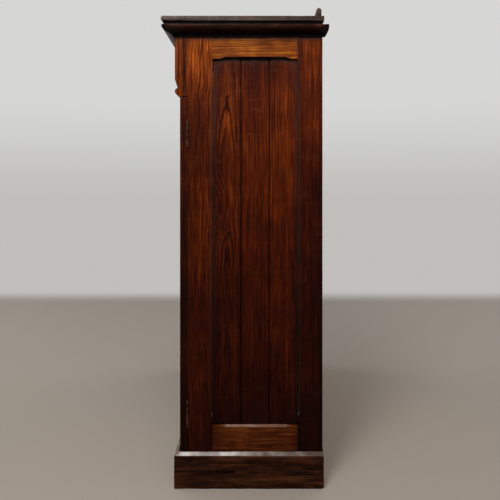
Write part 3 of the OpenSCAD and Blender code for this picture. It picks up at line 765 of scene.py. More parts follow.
        rough = figure["Fibre"] * 0.16 + (self.roughness - 0.08)
        coat = polish.band(0.0, 1.0, self.flat_gloss, self.gloss)
        coat = coat * patches.band(0.3, 0.6, 1.15, 0.45) * (1.0 - dirt_and_shade)
        height = figure["Height"] - knocks["Dent"] * 2.0
        return {"Base Color": colour, "Roughness": knocks["Rub"] * 0.2 + rough,
                "Specular IOR Level": self.specular, "Coat Weight": coat,
                "Coat Roughness": self.coat_roughness,
                "Normal": b.add("ShaderNodeBump", {"Strength": 0.35, "Distance": 0.6 * MM,
                                                   "Height": height})}


@dataclass(frozen=True)
class MetalFinish(Coating):
    """Old metal with a film of tarnish.

    Attributes:
        clean: colour where it is rubbed clean.
        film: colour of the tarnish.
        amount: strength of the tarnish.
        roughness: roughness of clean metal.
    """

    clean: Colour
    film: Colour
    amount: float = 0.7
    roughness: float = 0.3

    def dress(self, b: Bench, position: Flow) -> dict[str, Value]:
        """The shader's inputs.

        Args:
            b: the material's bench.
            position: the place on the object.

        Returns:
            Values by input name.
        """
        age = Effects.place(b, "tarnish", Position=position, Amount=self.amount)
        speck = tuple(c * 0.3 for c in self.film)
        colour = b.blend(age["Film"], self.clean, self.film)
        return {"Base Color": b.blend(age["Specks"] * 0.6, colour, speck), "Metallic": 1.0,
                "Roughness": age["Specks"] * 0.2 + (age["Film"] * 0.3 + self.roughness),
                "Normal": b.add("ShaderNodeBump", {"Strength": 0.2, "Distance": 0.2 * MM,
                                                   "Height": age["Grain"]})}


class Finish(Enum):
    """The finishes on the cupboard."""

    STAINED = PineFinish("stained_and_polished_pine", srgb(157, 76, 17))
    MOULDING = PineFinish("dark_moulding", srgb(52, 27, 19), dust_and_shade=srgb(22, 10, 8),
                          soil_and_shadow=srgb(13, 5, 4), low=0.9, clouds=0.6, dust_and_highlight=0.6, gloss=0.3)
    TOP = PineFinish("dulled_top", srgb(95, 80, 72), (1.0, 1.1, 1.15), late=0.25,
                     streaks=0.15, flecks=0.2, dust_and_shade=srgb(60, 50, 45), low=0.9, clouds=0.4,
                     dust_and_highlight=0.5, knocks=0.5, roughness=0.5, gloss=0.15, flat_gloss=0.1)
    PLINTH = PineFinish("scuffed_plinth", srgb(92, 54, 32), (1.0, 1.1, 1.15), late=0.3,
                        streaks=0.25, flecks=0.28, dust_and_shade=srgb(44, 34, 30),
                        bare=srgb(132, 88, 62), low=0.35, clouds=1.6,
                        cloud_size=(5.0, 5.0, 34.0), dust_and_highlight=0.56, pale=srgb(158, 142, 132),
                        knocks=0.8, gloss=0.9, coat_roughness=0.16)
    BARE = PineFinish("bare_pine", srgb(182, 138, 92), (1.0, 1.4, 1.8), late=0.27,
                      streaks=0.14, flecks=0.16, dust_and_shade=srgb(112, 86, 62),
                      soil_and_shadow=srgb(58, 42, 32), bare=srgb(196, 160, 120), low=0.8, clouds=0.35,
                      roughness=0.6, gloss=0.0, flat_gloss=0.0, pitch=3.6 * MM)
    BRASS = MetalFinish("aged_brass_metal", srgb(184, 146, 84), srgb(84, 62, 40))
    STEEL = MetalFinish("dark_hinge_metal", srgb(88, 70, 56), srgb(42, 32, 25), 0.9, 0.5)
    IRON = MetalFinish("oiled_iron", srgb(96, 92, 88), srgb(44, 36, 32), 0.8, 0.42)

    @property
    def material(self) -> bpy.types.Material:
        """Its material."""
        return self.value.material()

    @property
    def slot(self) -> str:
        """The record's material slot that the finish belongs to."""
        return {"BARE": "plain_pine", "BRASS": "aged_brass", "STEEL": "aged_brass",
                "IRON": "dark_iron"}.get(self.name, "stained_pine")


@dataclass
class DirtAndShade:
    """Finds the hollows where dirt gathers and shade falls, by looking out from the surface;
    their share is painted as dirt and shade.

    Attributes:
        reach: how far a look goes.
        looks: how many there are from each point.
        lift: how far above the surface they start.
        fade: how much less something at the end of a look counts.
        clean: parts of the names of nodes that keep no dirt and no painted shade near them.
        ways: the looks' directions about +Z.
        tree: the whole frame, ready for looks.
    """

    reach: float = 38 * MM
    looks: int = 18
    lift: float = 0.9 * MM
    fade: float = 0.6
    clean: tuple[str, ...] = ("leaves", "pins", "screws")
    ways: list[Place] = field(init=False)
    tree: BVHTree = field(init=False)

    def __post_init__(self) -> None:
        """Joins the frame and sets out the looks on a spiral over half a ball."""
        points, faces = [], []
        for name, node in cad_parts.items():
            if not any(word in name for word in self.clean):
                start = len(points)
                points += [v.co.copy() for v in node.data.vertices]
                faces += [[start + i for i in p.vertices] for p in node.data.polygons]
        self.tree = BVHTree.FromPolygons(points, faces)
        self.ways = []
        for i in range(self.looks):
            up = math.sqrt(1 - (i + 0.5) / self.looks)
            turn = i * math.pi * (3 - math.sqrt(5))
            flat = math.sqrt(1 - up * up)
            self.ways.append((flat * math.cos(turn), flat * math.sin(turn), up))

    def hollow(self, mesh: bpy.types.Mesh) -> np.ndarray:
        """Share of the looks from each of a mesh's points that meet something near.

        Args:
            mesh: the mesh.

        Returns:
            One share for each point.
        """
        shares = np.zeros(len(mesh.vertices))
        cast, reach = self.tree.ray_cast, self.reach
        for vertex, normal in zip(mesh.vertices, mesh.vertex_normals):
            normal = normal.vector
            start = vertex.co + normal * self.lift
            side = normal.orthogonal().normalized()
            other = normal.cross(side)
            met = 0.0
            for x, y, up in self.ways:
                distance = cast(start, side * x + other * y + normal * up, reach)[3]
                if distance is not None:
                    met += 1 - self.fade * distance / reach
            shares[vertex.index] = met / self.looks
        return shares


class Trees(Library):
    """Geometry trees for what repeats or follows a line."""

    @classmethod
    def grow(cls, name: str, **inputs: object) -> bpy.types.Mesh:
        """Makes a plain mesh with one of the trees.

        Args:
            name: the tree's name.
            inputs: values by input name, with underscores for spaces; objects are removed.

        Returns:
            The mesh.
        """
        holder = stand("holder", bpy.data.meshes.new("holder"))
        modifier = holder.modifiers.new("tree", "NODES")
        modifier.node_group = cls.tree(name)
        for item in modifier.node_group.interface.items_tree:
            key = item.name.replace(" ", "_")
            if item.in_out == "INPUT" and key in inputs:
                modifier[item.identifier] = inputs[key]
        return baked(holder, *(value for value in inputs.values()
                               if isinstance(value, bpy.types.Object)))

    @staticmethod
    def guide(points: Sequence[Sequence[float]], closed: bool = False) -> bpy.types.Object:
        """Points for a tree to work on.

        Args:
            points: their places; a flat one lies in the XY plane.
            closed: whether they are joined into an outline.

        Returns:
            An object that holds them.
        """
        mesh = bpy.data.meshes.new("guide")
        count = len(points) if closed else 0
        mesh.from_pydata([(*point, 0.0)[:3] for point in points],
                         [(i, (i + 1) % count) for i in range(count)], [])
        return stand("guide", mesh)

    @staticmethod
    def sweep(b: Bench, section: Flow, length: Flow, step: float) -> Flow:
        """A section swept along +X: its X comes out as -Y and its Y as -Z.

        Args:
            b: the tree's bench.
            section: the object that holds the section.
            length: how far it is swept.
            step: about how far apart the sections are.

        Returns:
            The mesh.
        """
        line = b.add("GeometryNodeCurvePrimitiveLine", {"End": b.join(length, 0.0, 0.0)})
        line = b.add("GeometryNodeResampleCurve",
                     {"Curve": line, "Count": length / step + 1.5})
        shape = b.add("GeometryNodeObjectInfo", {"Object": section}, "Geometry")
        loop = b.add("GeometryNodeMeshToCurve", {"Mesh": shape})
        return b.add("GeometryNodeCurveToMesh",
                     {"Curve": line, "Profile Curve": loop, "Fill Caps": True})

    @staticmethod
    def close(b: Group, geometry: Flow) -> bpy.types.NodeTree:
        """Ends a tree with a real mesh in the material that it is given."""
        real = b.add("GeometryNodeRealizeInstances", {"Geometry": geometry})
        return b.close("Geometry", Geometry=b.add(
            "GeometryNodeSetMaterial", {"Geometry": real, "Material": b.given["Material"]}))

    @classmethod
    def matchboards(cls) -> bpy.types.NodeTree:
        """Row of upright tongued boards, cut square at both ends of the row.

        Returns:
            The tree.
        """
        b = Group("matchboards", "GeometryNodeTree", [
            ("Section", "Object"), ("Count", "Int", 3), ("Step", "Float", 0.07),
            ("Height", "Float", 0.9), ("Margin", "Float", 0.007), ("Tongue", "Float", 0.005),
            ("Vee", "Float", 0.0022), ("Uneven", "Float", 0.0002), ("Seed", "Int", 0),
            ("Material", "Material")])
        g = b.given
        upright = tuple(Matrix(((0, -1, 0), (0, 0, -1), (1, 0, 0))).to_euler())
        board = b.add("GeometryNodeTransform", {
            "Geometry": cls.sweep(b, g["Section"], g["Height"], 24 * MM), "Rotation": upright})
        row = b.add("GeometryNodeMeshLine",
                    {"Count": g["Count"], "Offset": b.join(g["Step"], 0.0, 0.0)})
        shift = b.add("FunctionNodeRandomValue", {
            "Min": b.join(0.0, -g["Uneven"], 0.0), "Max": b.join(0.0, g["Uneven"], 0.0),
            "Seed": g["Seed"]}, data_type="FLOAT_VECTOR")
        row = b.add("GeometryNodeSetPosition", {"Geometry": row, "Offset": shift})
        boards = b.add("GeometryNodeInstanceOnPoints", {"Points": row, "Instance": board})
        boards = b.add("GeometryNodeRealizeInstances", {"Geometry": boards})
        x, y, z = b.add("GeometryNodeInputPosition").split()
        wide = g["Count"] * g["Step"]
        for there, end in ((x < g["Tongue"] * 1.1, -g["Margin"]),
                           (x > wide - g["Vee"] * 1.3, wide + g["Margin"])):
            boards = b.add("GeometryNodeSetPosition", {
                "Geometry": boards, "Selection": there, "Position": b.join(end, y, z)})
        return cls.close(b, b.add("GeometryNodeMergeByDistance",
                                  {"Geometry": boards, "Distance": 0.01 * MM}))

    @classmethod
    def moulding_run(cls) -> bpy.types.NodeTree:
        """Run of moulding along +X that stands out towards -Y, mitred where asked.

        Returns:
            The tree.
        """
        b = Group("moulding_run", "GeometryNodeTree", [
            ("Section", "Object"), ("Length", "Float", 1.0), ("Mitre Start", "Float", 1.0),
            ("Mitre End", "Float", 1.0), ("Lean", "Float", 0.0), ("Knee", "Float", 1.0),
            ("Material", "Material")])
        g = b.given
        near = 0.1 * MM
        run = cls.sweep(b, g["Section"], g["Length"], 40 * MM)
        x, y, z = b.add("GeometryNodeInputPosition").split()
        share = (z / g["Knee"]).at_most(1.0)
        left = 1.0 - share
        lean = left * left * (share * 0.5 + 1.0)
        for there, out in ((x < near, y * g["Mitre Start"]),
                           (x > g["Length"] - near, -y * g["Mitre End"] + lean * -g["Lean"])):
            run = b.add("GeometryNodeSetPosition", {
                "Geometry": run, "Selection": there, "Offset": b.join(out, 0.0, 0.0)})
        return cls.close(b, run)

    @classmethod
    def fixings(cls) -> bpy.types.NodeTree:
        """Screw or nail heads that face one way, each turned by chance.

        Returns:
            The tree.
        """
        b = Group("fixings", "GeometryNodeTree", [
            ("Spots", "Object"), ("Facing", "Vector", (0.0, -1.0, 0.0)),
            ("Radius", "Float", 0.003), ("Rise", "Float", 0.0003), ("Sink", "Float", 0.001),
            ("Slot", "Float", 0.0008), ("Shank", "Float", 0.0015), ("Length", "Float", 0.01),
            ("Seed", "Int", 0), ("Material", "Material")])
        g = b.given

        def lift(shape: Flow, up: Flow) -> Flow:
            """A shape moved up by so much."""
            return b.add("GeometryNodeTransform",
                         {"Geometry": shape, "Translation": b.join(0.0, 0.0, up)})

        whole = g["Rise"] + g["Sink"]
        head = b.add("GeometryNodeMeshCone", {
            "Vertices": 20, "Radius Top": g["Radius"] * 0.93, "Radius Bottom": g["Radius"],
            "Depth": whole})
        head = lift(head, -g["Sink"])
        bar = b.add("GeometryNodeMeshCube",
                    {"Size": b.join(g["Radius"] * 2.4, g["Slot"], whole * 0.8)})
        slotted = b.add("GeometryNodeMeshBoolean",
                        {"Mesh 1": head, "Mesh 2": lift(bar, g["Rise"])},
                        operation="DIFFERENCE")
        head = b.add("GeometryNodeSwitch", {
            "Switch": g["Slot"] < 0.01 * MM, "False": slotted, "True": head},
            input_type="GEOMETRY")
        stem = b.add("GeometryNodeMeshCone", {
            "Vertices": 10, "Radius Top": g["Shank"], "Radius Bottom": g["Shank"] * 0.5,
            "Depth": g["Length"]})
        one = b.add("GeometryNodeJoinGeometry",
                    {0: [head, lift(stem, -(g["Length"] + g["Sink"]))]})
        spots = b.add("GeometryNodeObjectInfo", {"Object": g["Spots"]}, "Geometry")
        aim = b.add("FunctionNodeAlignRotationToVector", {"Vector": g["Facing"]}, axis="Z")
        turn = b.add("FunctionNodeRandomValue", {2: 0.0, 3: math.tau, "Seed": g["Seed"]}, 1,
                     data_type="FLOAT")
        spin = b.add("FunctionNodeEulerToRotation", {0: b.join(0.0, 0.0, turn)})
        aim = b.add("FunctionNodeRotateRotation", {0: aim, 1: spin}, rotation_space="LOCAL")
        return cls.close(b, b.add("GeometryNodeInstanceOnPoints",
                                  {"Points": spots, "Instance": one, "Rotation": aim}))


class Joinery:
    """Turns meshes into finished pieces that ride on their bodies.

    Attributes:
        merge: distance under which a shape's points count as one.
        flat: angle in degrees under which its faces count as one.
        sharp: angle above which an edge is rounded.
        fullness: how full its rounding is.
        dents: waves to a metre of a face's coarse and fine unevenness.
        weight: how far large faces lead the shading of their edges.
        cutting: least and most that chance multiplies a board's cut by.
        toning: least and most that it multiplies its tone by.
        warming: least and most that it adds to its warmth.
        hollows: gain and threshold of the dirt and painted shade in hollows.
        unders: gain and threshold of the painted shade on faces that look down.
        square: part of a face's normal along an axis from which it isn't a slope.
        upward: part of it along +Z from which a slope catches dust and a painted highlight.
    """

    merge = 0.005 * MM
    flat = 0.4
    sharp = math.radians(28)
    fullness = 0.6
    dents = (28, 90)
    weight = 80
    cutting = (0.85, 1.2)
    toning = (0.95, 1.05)
    warming = (-0.05, 0.05)
    hollows = (1.5, 0.12)
    unders = (2.4, 0.3)
    square = 0.93
    upward = 0.25

    def __init__(self, seed: int, dirt_and_shade: DirtAndShade) -> None:
        """Keeps a fixed source of chance and the finder of hollows."""
        self.rng = random.Random(seed)
        self.dirt_and_shade = dirt_and_shade

    @classmethod
    def flattened(cls, shape: bpy.types.Mesh, flat: float = flat) -> bpy.types.Mesh:
        """A merged copy of a shape.

        Args:
            shape: the mesh to copy.
            flat: angle in degrees under which faces count as one.

        Returns:
            The copy.
        """
        mesh = bpy.data.meshes.new(shape.name)
        with editing(mesh, shape) as bm:
            bmesh.ops.remove_doubles(bm, verts=bm.verts, dist=cls.merge)
            if flat:
                bmesh.ops.dissolve_limit(bm, angle_limit=math.radians(flat), verts=bm.verts,
                                         edges=bm.edges)
        return mesh

    @classmethod
    def copy_of(cls, node: str, flat: float = flat) -> bpy.types.Mesh:
        """A merged and flattened copy of a CAD node's shape."""
        return cls.flattened(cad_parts[node].data, flat)

    @classmethod
    def ease(cls, mesh: bpy.types.Mesh, width: float, shortest: float = 5 * MM) -> None:
        """Rounds a mesh's longer sharp edges and marks the new faces as worn.

        Args:
            mesh: the mesh to change.
            width: width of the rounding.
            shortest: length under which an edge stays sharp.
        """
        with editing(mesh) as bm:
            worn = bm.faces.layers.float.new("worn")
            edges = [e for e in bm.edges if len(e.link_faces) == 2
                     and e.calc_length() > shortest and e.calc_face_angle() > cls.sharp]
            made = bmesh.ops.bevel(bm, geom=edges, offset=width, offset_type="OFFSET",
                                   segments=2, profile=cls.fullness, affect="EDGES",
                                   clamp_overlap=False, loop_slide=True)
            for face in made["faces"]:
                face[worn] = 1.0

    @staticmethod
    def score(mesh: bpy.types.Mesh, axis: Axis, places: Sequence[float]) -> None:
        """Cuts a mesh's faces across an axis, so that they have points at the places.

        Args:
            mesh: the mesh to change.
            axis: the axis.
            places: where along it the cuts lie.
        """
        way = Vector((0, 0, 0))
        way[axis.value] = 1
        with editing(mesh) as bm:
            for place in places:
                bmesh.ops.bisect_plane(bm, geom=bm.verts[:] + bm.edges[:] + bm.faces[:],
                                       dist=0.001 * MM, plane_no=way, plane_co=way * place)

    @classmethod
    def refine(cls, mesh: bpy.types.Mesh, step: float) -> None:
        """Cuts a mesh by planes, so that its points lie near each other.

        Args:
            mesh: the mesh to change.
            step: about how far apart the planes are.
        """
        for axis in Axis:
            values = [v.co[axis.value] for v in mesh.vertices]
            low, high = min(values), max(values)
            count = int((high - low) / step)
            cls.score(mesh, axis, [low + (high - low) * i / count for i in range(1, count)])

    @classmethod
    def age(cls, mesh: bpy.types.Mesh, depth: float) -> None:
        """Lets a mesh's faces in unevenly.

        Args:
            mesh: the mesh to change.
            depth: how far in they may go.
        """
        coarse, fine = cls.dents
        moved = []
        for vertex, normal in zip(mesh.vertices, mesh.vertex_normals):
            place = vertex.co
            share = 0.5 + noise.noise(place * coarse) + 0.5 * noise.noise(place * fine)
            moved.append(place - normal.vector * depth * min(1.0, max(0.0, share)))
        for vertex, place in zip(mesh.vertices, moved):
            vertex.co = place

    @staticmethod
    def islands(mesh: bpy.types.Mesh) -> list[np.ndarray]:
        """Finds the loose parts of a mesh.

        Args:
            mesh: the mesh.

        Returns:
            The numbers of each part's points.
        """
        parent = list(range(len(mesh.vertices)))

        def root(i: int) -> int:
            """Number of the first point in the part of point i."""
            while parent[i] != i:
                parent[i] = parent[parent[i]]
                i = parent[i]
            return i

        for edge in mesh.edges:
            a, b = sorted((root(edge.vertices[0]), root(edge.vertices[1])))
            parent[b] = a
        roots = np.array([root(i) for i in range(len(parent))])
        return [np.flatnonzero(roots == r) for r in np.unique(roots)]

    def sawn(self, mesh: bpy.types.Mesh, points: np.ndarray, timber: Timber,
             ) -> dict[str, np.ndarray]:
        """Each board's own grain space, pith, knot, tone and lines.

        Args:
            mesh: the finished mesh.
            points: the places of its points.
            timber: how its boards are cut.

        Returns:
            Vectors at the points, by attribute name.
        """
        board, pith, knot, cast, lines = (np.zeros(points.shape) for _ in range(5))
        along, rng = timber.axis.value, self.rng
        parts = sorted(self.islands(mesh), key=lambda part: points[part].mean(0).sum())
        for number, part in enumerate(parts):
            low, high = points[part].min(0), points[part].max(0)
            across, through = sorted((a for a in range(3) if a != along),
                                     key=(low - high).__getitem__)
            origin = (low + high) / 2
            origin[along] = low[along]
            board[part] = (points[part] - origin)[:, [along, across, through]]
            figure = timber.figures[number % len(timber.figures)]
            signs, scale = (1, 1, 1), 1.0
            if not timber.exact:
                signs = [rng.choice((-1, 1)) for _ in range(3)]
                scale = rng.uniform(*self.cutting)
            pith[part] = [sign * place * scale for sign, place
                          in zip(signs, (figure.aside, figure.deep, figure.tilt))]
            knot[part] = figure.knot or NO_KNOT
            lines[part] = (figure.lines, figure.waves, 0.0)
            cast[part] = (figure.tone * rng.uniform(*self.toning), rng.random(),
                          figure.warmth + rng.uniform(*self.warming))
        for stain in timber.stains:
            cast[:, 0] *= stain.share(points)
        return {"board": board, "pith": pith, "knot": knot, "cast": cast, "lines": lines}

    def darkened(self, mesh: bpy.types.Mesh, points: np.ndarray, timber: Timber) -> np.ndarray:
        """Share of dirt and painted shade: in hollows, where the timber asks for it, and painted
        shade on faces that look down.

        Args:
            mesh: the finished mesh.
            points: the places of its points.
            timber: how it is dirtied.

        Returns:
            One share for each point.
        """
        (gain, least), (under_gain, under_least) = self.hollows, self.unders
        grime = np.clip(self.dirt_and_shade.hollow(mesh) * gain - least, 0.0, 1.0)
        if timber.grime is not None:
            grime = np.maximum(grime, timber.grime(points))
        # Painted shade on faces that look down.
        if timber.under:
            down = np.array([-normal.vector[2] for normal in mesh.vertex_normals])
            down = np.clip(down * under_gain - under_least, 0.0, 1.0)
            grime = np.maximum(grime, down * timber.under)
        return grime

    def touched(self, mesh: bpy.types.Mesh) -> np.ndarray:
        """Which faces are burnished slopes, worn edges and ledges that catch dust and a painted
        highlight.

        Args:
            mesh: the finished mesh.

        Returns:
            These three shares for each face.
        """
        touch = np.zeros((len(mesh.polygons), 3))
        normals = np.empty(touch.size)
        mesh.polygons.foreach_get("normal", normals)
        normals = normals.reshape(-1, 3)
        if "worn" in mesh.attributes:
            worn = np.empty(len(touch))
            mesh.attributes["worn"].data.foreach_get("value", worn)
            touch[:, 1] = worn
        touch[:, 0] = np.abs(normals).max(1) < self.square
        # Upward slopes: settled dust and a painted highlight.
        touch[:, 2] = touch[:, 0] * (normals[:, 2] > self.upward)
        return touch

    def grain(self, mesh: bpy.types.Mesh, timber: Timber) -> None:
        """Writes on a mesh what its material reads.

        Args:
            mesh: the finished mesh in the shared frame.
            timber: how its boards are cut, worn and dirtied.
        """
        points = np.empty(len(mesh.vertices) * 3)
        mesh.vertices.foreach_get("co", points)
        points = points.reshape(-1, 3)
        for name, values in self.sawn(mesh, points, timber).items():
            store(mesh, name, values)
        store(mesh, "grime", self.darkened(mesh, points, timber))
        store(mesh, "touch", self.touched(mesh), "FACE")

    @classmethod
    def settle(cls, mesh: bpy.types.Mesh, name: str, finish: Finish, body: str, *nodes: str,
               crease: Optional[float] = None) -> None:
        """Finishes a piece and rides it on its body.

        Args:
            mesh: the mesh in the shared frame.
            name: the piece's name.
            finish: its finish.
            body: the CAD body that it moves with.
            nodes: the CAD nodes that it stands for.
            crease: angle in degrees above which an edge shades sharp, or None.
        """
        mesh.materials.clear()
        mesh.materials.append(finish.material)
        mesh.shade_smooth()
        if crease is not None:
            mesh.set_sharp_from_angle(angle=math.radians(crease))
        rough = stand("rough", mesh)
        faces = rough.modifiers.new("faces", "WEIGHTED_NORMAL")
        faces.weight = cls.weight
        faces.keep_sharp = crease is not None
        made = baked(rough)
        made.name = name
        piece = stand(name, made)
        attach(piece, body)
        if nodes:
            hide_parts(*nodes)
        log.info("%s: %d faces on %s", name, len(made.polygons), body)

    def timbered(self, mesh: bpy.types.Mesh, name: str, finish: Finish, timber: Timber,
                 body: str, *nodes: str) -> None:
        """Dresses a wooden mesh.

        Args:
            mesh: the mesh in the shared frame.
            name: the piece's name.
            finish: its finish.
            timber: how its boards are cut, worn and dirtied.
            body: the body that it moves with.
            nodes: the CAD nodes that it stands for.
        """
        self.ease(mesh, timber.edge)
        self.refine(mesh, timber.step)
        self.age(mesh, timber.wear)
        self.grain(mesh, timber)
        self.settle(mesh, name, finish, body, *nodes)

    def wood(self, node: str, finish: Finish, timber: Timber, body: str = "carcase") -> None:
        """Dresses a copy of one wooden CAD node, as timbered does."""
        self.timbered(self.copy_of(node), node + "_dressed", finish, timber, body, node)

    def metal(self, node: str, finish: Finish, body: str, edge: float = 0.0) -> None:
        """Dresses one metal CAD node.

        Args:
            node: the CAD node.
            finish: its finish.
            body: the body that it moves with.
            edge: width of the rounding of a flat piece, or 0 for a round one.
        """
        mesh = self.copy_of(node, self.flat if edge else 0.0)
        if edge:
            self.ease(mesh, edge, 1.5 * MM)
        self.settle(mesh, node + "_dressed", finish, body, node, crease=None if edge else 35.0)

    def heads(self, name: str, finish: Finish, body: str, spots: Sequence[Place], *nodes: str,
              **sizes: object) -> None:
        """Sets screw or nail heads.

        Args:
            name: the piece's name.
            finish: its finish.
            body: the body that it moves with.
            spots: the heads' places.
            nodes: the CAD nodes that it stands for.
            sizes: inputs of the fixings tree.
        """
        mesh = Trees.grow("fixings", Spots=Trees.guide(spots), Seed=len(spots),
                          Material=finish.material, **sizes)
        self.settle(mesh, name, finish, body, *nodes, crease=30.0)


@dataclass
class Matchboarding:
    """A row of tongued boards that fills a frame.

    Attributes:
        node: the CAD node that it stands for.
        count: number of boards.
        opening: width between the frame's stiles.
        margin: how far the row runs into the frame's grooves.
        thick: the boards' thickness.
        uneven: how far a board may stand in or out.
        tongue: the tongues' length.
        tongue_t: their thickness.
        vee: width of the chamfers at the joints.
        gap: width of the open joints.
        fit: clearance round the tongues.
    """

    node: str
    count: int
    opening: float
    margin: float = 7 * MM
    thick: float = 12 * MM
    uneven: float = 0.15 * MM
    tongue: float = 5 * MM
    tongue_t: float = 3 * MM
    vee: float = 2.2 * MM
    gap: float = 0.3 * MM
    fit: float = 0.1 * MM

    @property
    def step(self) -> float:
        """Distance between boards."""
        return self.opening / self.count

    def section(self) -> list[tuple[float, float]]:
        """Section of a board with a groove on its left and a tongue on its right.

        Returns:
            Points with the face at y = 0, in the order that turns the swept faces outwards.
        """
        x0, x1 = self.gap / 2, self.step - self.gap / 2
        tongue, vee, fit, thick = self.tongue, self.vee, self.fit, self.thick
        low, high = (thick - self.tongue_t) / 2, (thick + self.tongue_t) / 2
        inner = [x0 + tongue + vee + (x1 - x0 - tongue - 3 * vee) * i / 6 for i in range(1, 6)]
        return [(x0 + vee, 0.0), *((x, 0.0) for x in inner), (x1 - vee, 0.0), (x1, vee),
                (x1, low), (x1 + tongue, low), (x1 + tongue, high), (x1, high), (x1, thick),
                *((x, thick) for x in reversed(inner)), (x0, thick), (x0, high + fit),
                (x0 + tongue, high + fit), (x0 + tongue, low - fit), (x0, low - fit),
                (x0, vee)]

    def mesh(self, place: Matrix, seed: int) -> bpy.types.Mesh:
        """The row, put in its place.

        Args:
            place: from the row's own space, with its face at y = 0, to the shared frame.
            seed: seed of the unevenness.

        Returns:
            The mesh.
        """
        low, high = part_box(self.node)
        mesh = Trees.grow("matchboards", Section=Trees.guide(self.section(), closed=True),
                          Count=self.count, Step=self.step, Height=high[2] - low[2],
                          Margin=self.margin, Tongue=self.tongue, Vee=self.vee,
                          Uneven=self.uneven, Seed=seed, Material=Finish.STAINED.material)
        mesh.transform(Matrix.Translation((0, 0, low[2])) @ place)
        if place.determinant() < 0:
            mesh.flip_normals()
        return mesh

    def lay(self, shop: Joinery, place: Matrix, seed: int, cuts: tuple[Axis, list[float]],
            timber: Timber, finish: Finish = Finish.STAINED, body: str = "carcase") -> None:
        """Builds and dresses the row.

        Args:
            shop: the shop that dresses it.
            place: from the row's own space to the shared frame.
            seed: seed of the unevenness.
            cuts: the axis and the places where it needs points to carry dirt and painted shade.
            timber: how its boards are cut and dirtied.
            finish: its finish.
            body: the body that it moves with.
        """
        mesh = self.mesh(place, seed)
        shop.score(mesh, *cuts)
        shop.grain(mesh, timber)
        shop.settle(mesh, self.node + "_dressed", finish, body, self.node, crease=20.0)


@dataclass
class Framing:
    """A frame of stiles and rails round tongued boards.

    Attributes:
        shop: the shop that dresses it.
        hand: on which side it is.
        front_y: where its front is.
        opening: distance between the stiles.
        opening_z: heights of the rails' edges towards the boards.
        boards: number of boards.
        board_t: their thickness.
        board_figures: their figures.
        seed: seed of their unevenness, to which the hand's sign is added.
        recess: how far they stand back from the frame's face.
        stile: the stiles' width.
        reach: how far dirt and painted shade reach.
    """

    shop: Joinery
    hand: Hand
    front_y: float
    opening: float
    opening_z: tuple[float, float]
    boards: int
    board_t: float
    board_figures: tuple[Figure, ...]
    seed: int = 0
    recess: float = 6.5 * MM
    stile: float = 60 * MM
    reach: float = 20 * MM

    def across(self, points: np.ndarray) -> np.ndarray:
        """How far points are from one stile towards the other."""
        raise NotImplementedError

    def grime(self, points: np.ndarray) -> np.ndarray:
        """Dirt and painted shade that the frame's edges keep on the boards inside it, with a
        painted shadow under the top rail.

        Args:
            points: the boards' points.

        Returns:
            Its share at each of them.
        """
        across, up = self.across(points), points[:, 2]
        side = np.minimum(across, self.opening - across)
        foot, head = up - self.opening_z[0], self.opening_z[1] - up
        clean = np.ones(len(up))
        for gap, share, wide in ((side, 0.6, 0.2), (foot, 0.7, 0.6), (head, 0.62, 0.75)):
            clean *= 1 - share * np.exp(-np.maximum(gap, 0) / (wide * self.reach))
        # Painted shadow that the top rail casts on the boards.
        shadow_reach = 0.4 * self.reach
        return np.maximum(1 - clean, np.exp(-(np.maximum(head, 0) / shadow_reach) ** 2))

    def fill(self, node: str, place: Matrix, body: str, **shown: object) -> None:
        """Builds and dresses the boards.

        Args:
            node: the CAD node that they stand for.
            place: from the row's own space to the right-hand side of the shared frame.
            body: the body that they move with.
            shown: other fields of their timber.
        """
        low, high = self.opening_z
        steps = [s * MM for s in (2.5, 5, 8, 12, 17, 24)]
        cuts = [low + s for s in steps] + [high - s for s in steps]
        Matchboarding(node, self.boards, self.opening, thick=self.board_t).lay(
            self.shop, self.hand.mirror(place), self.seed + self.hand.value, (Axis.Z, cuts),
            Timber(Axis.Z, self.board_figures, grime=self.grime, **shown), body=body)


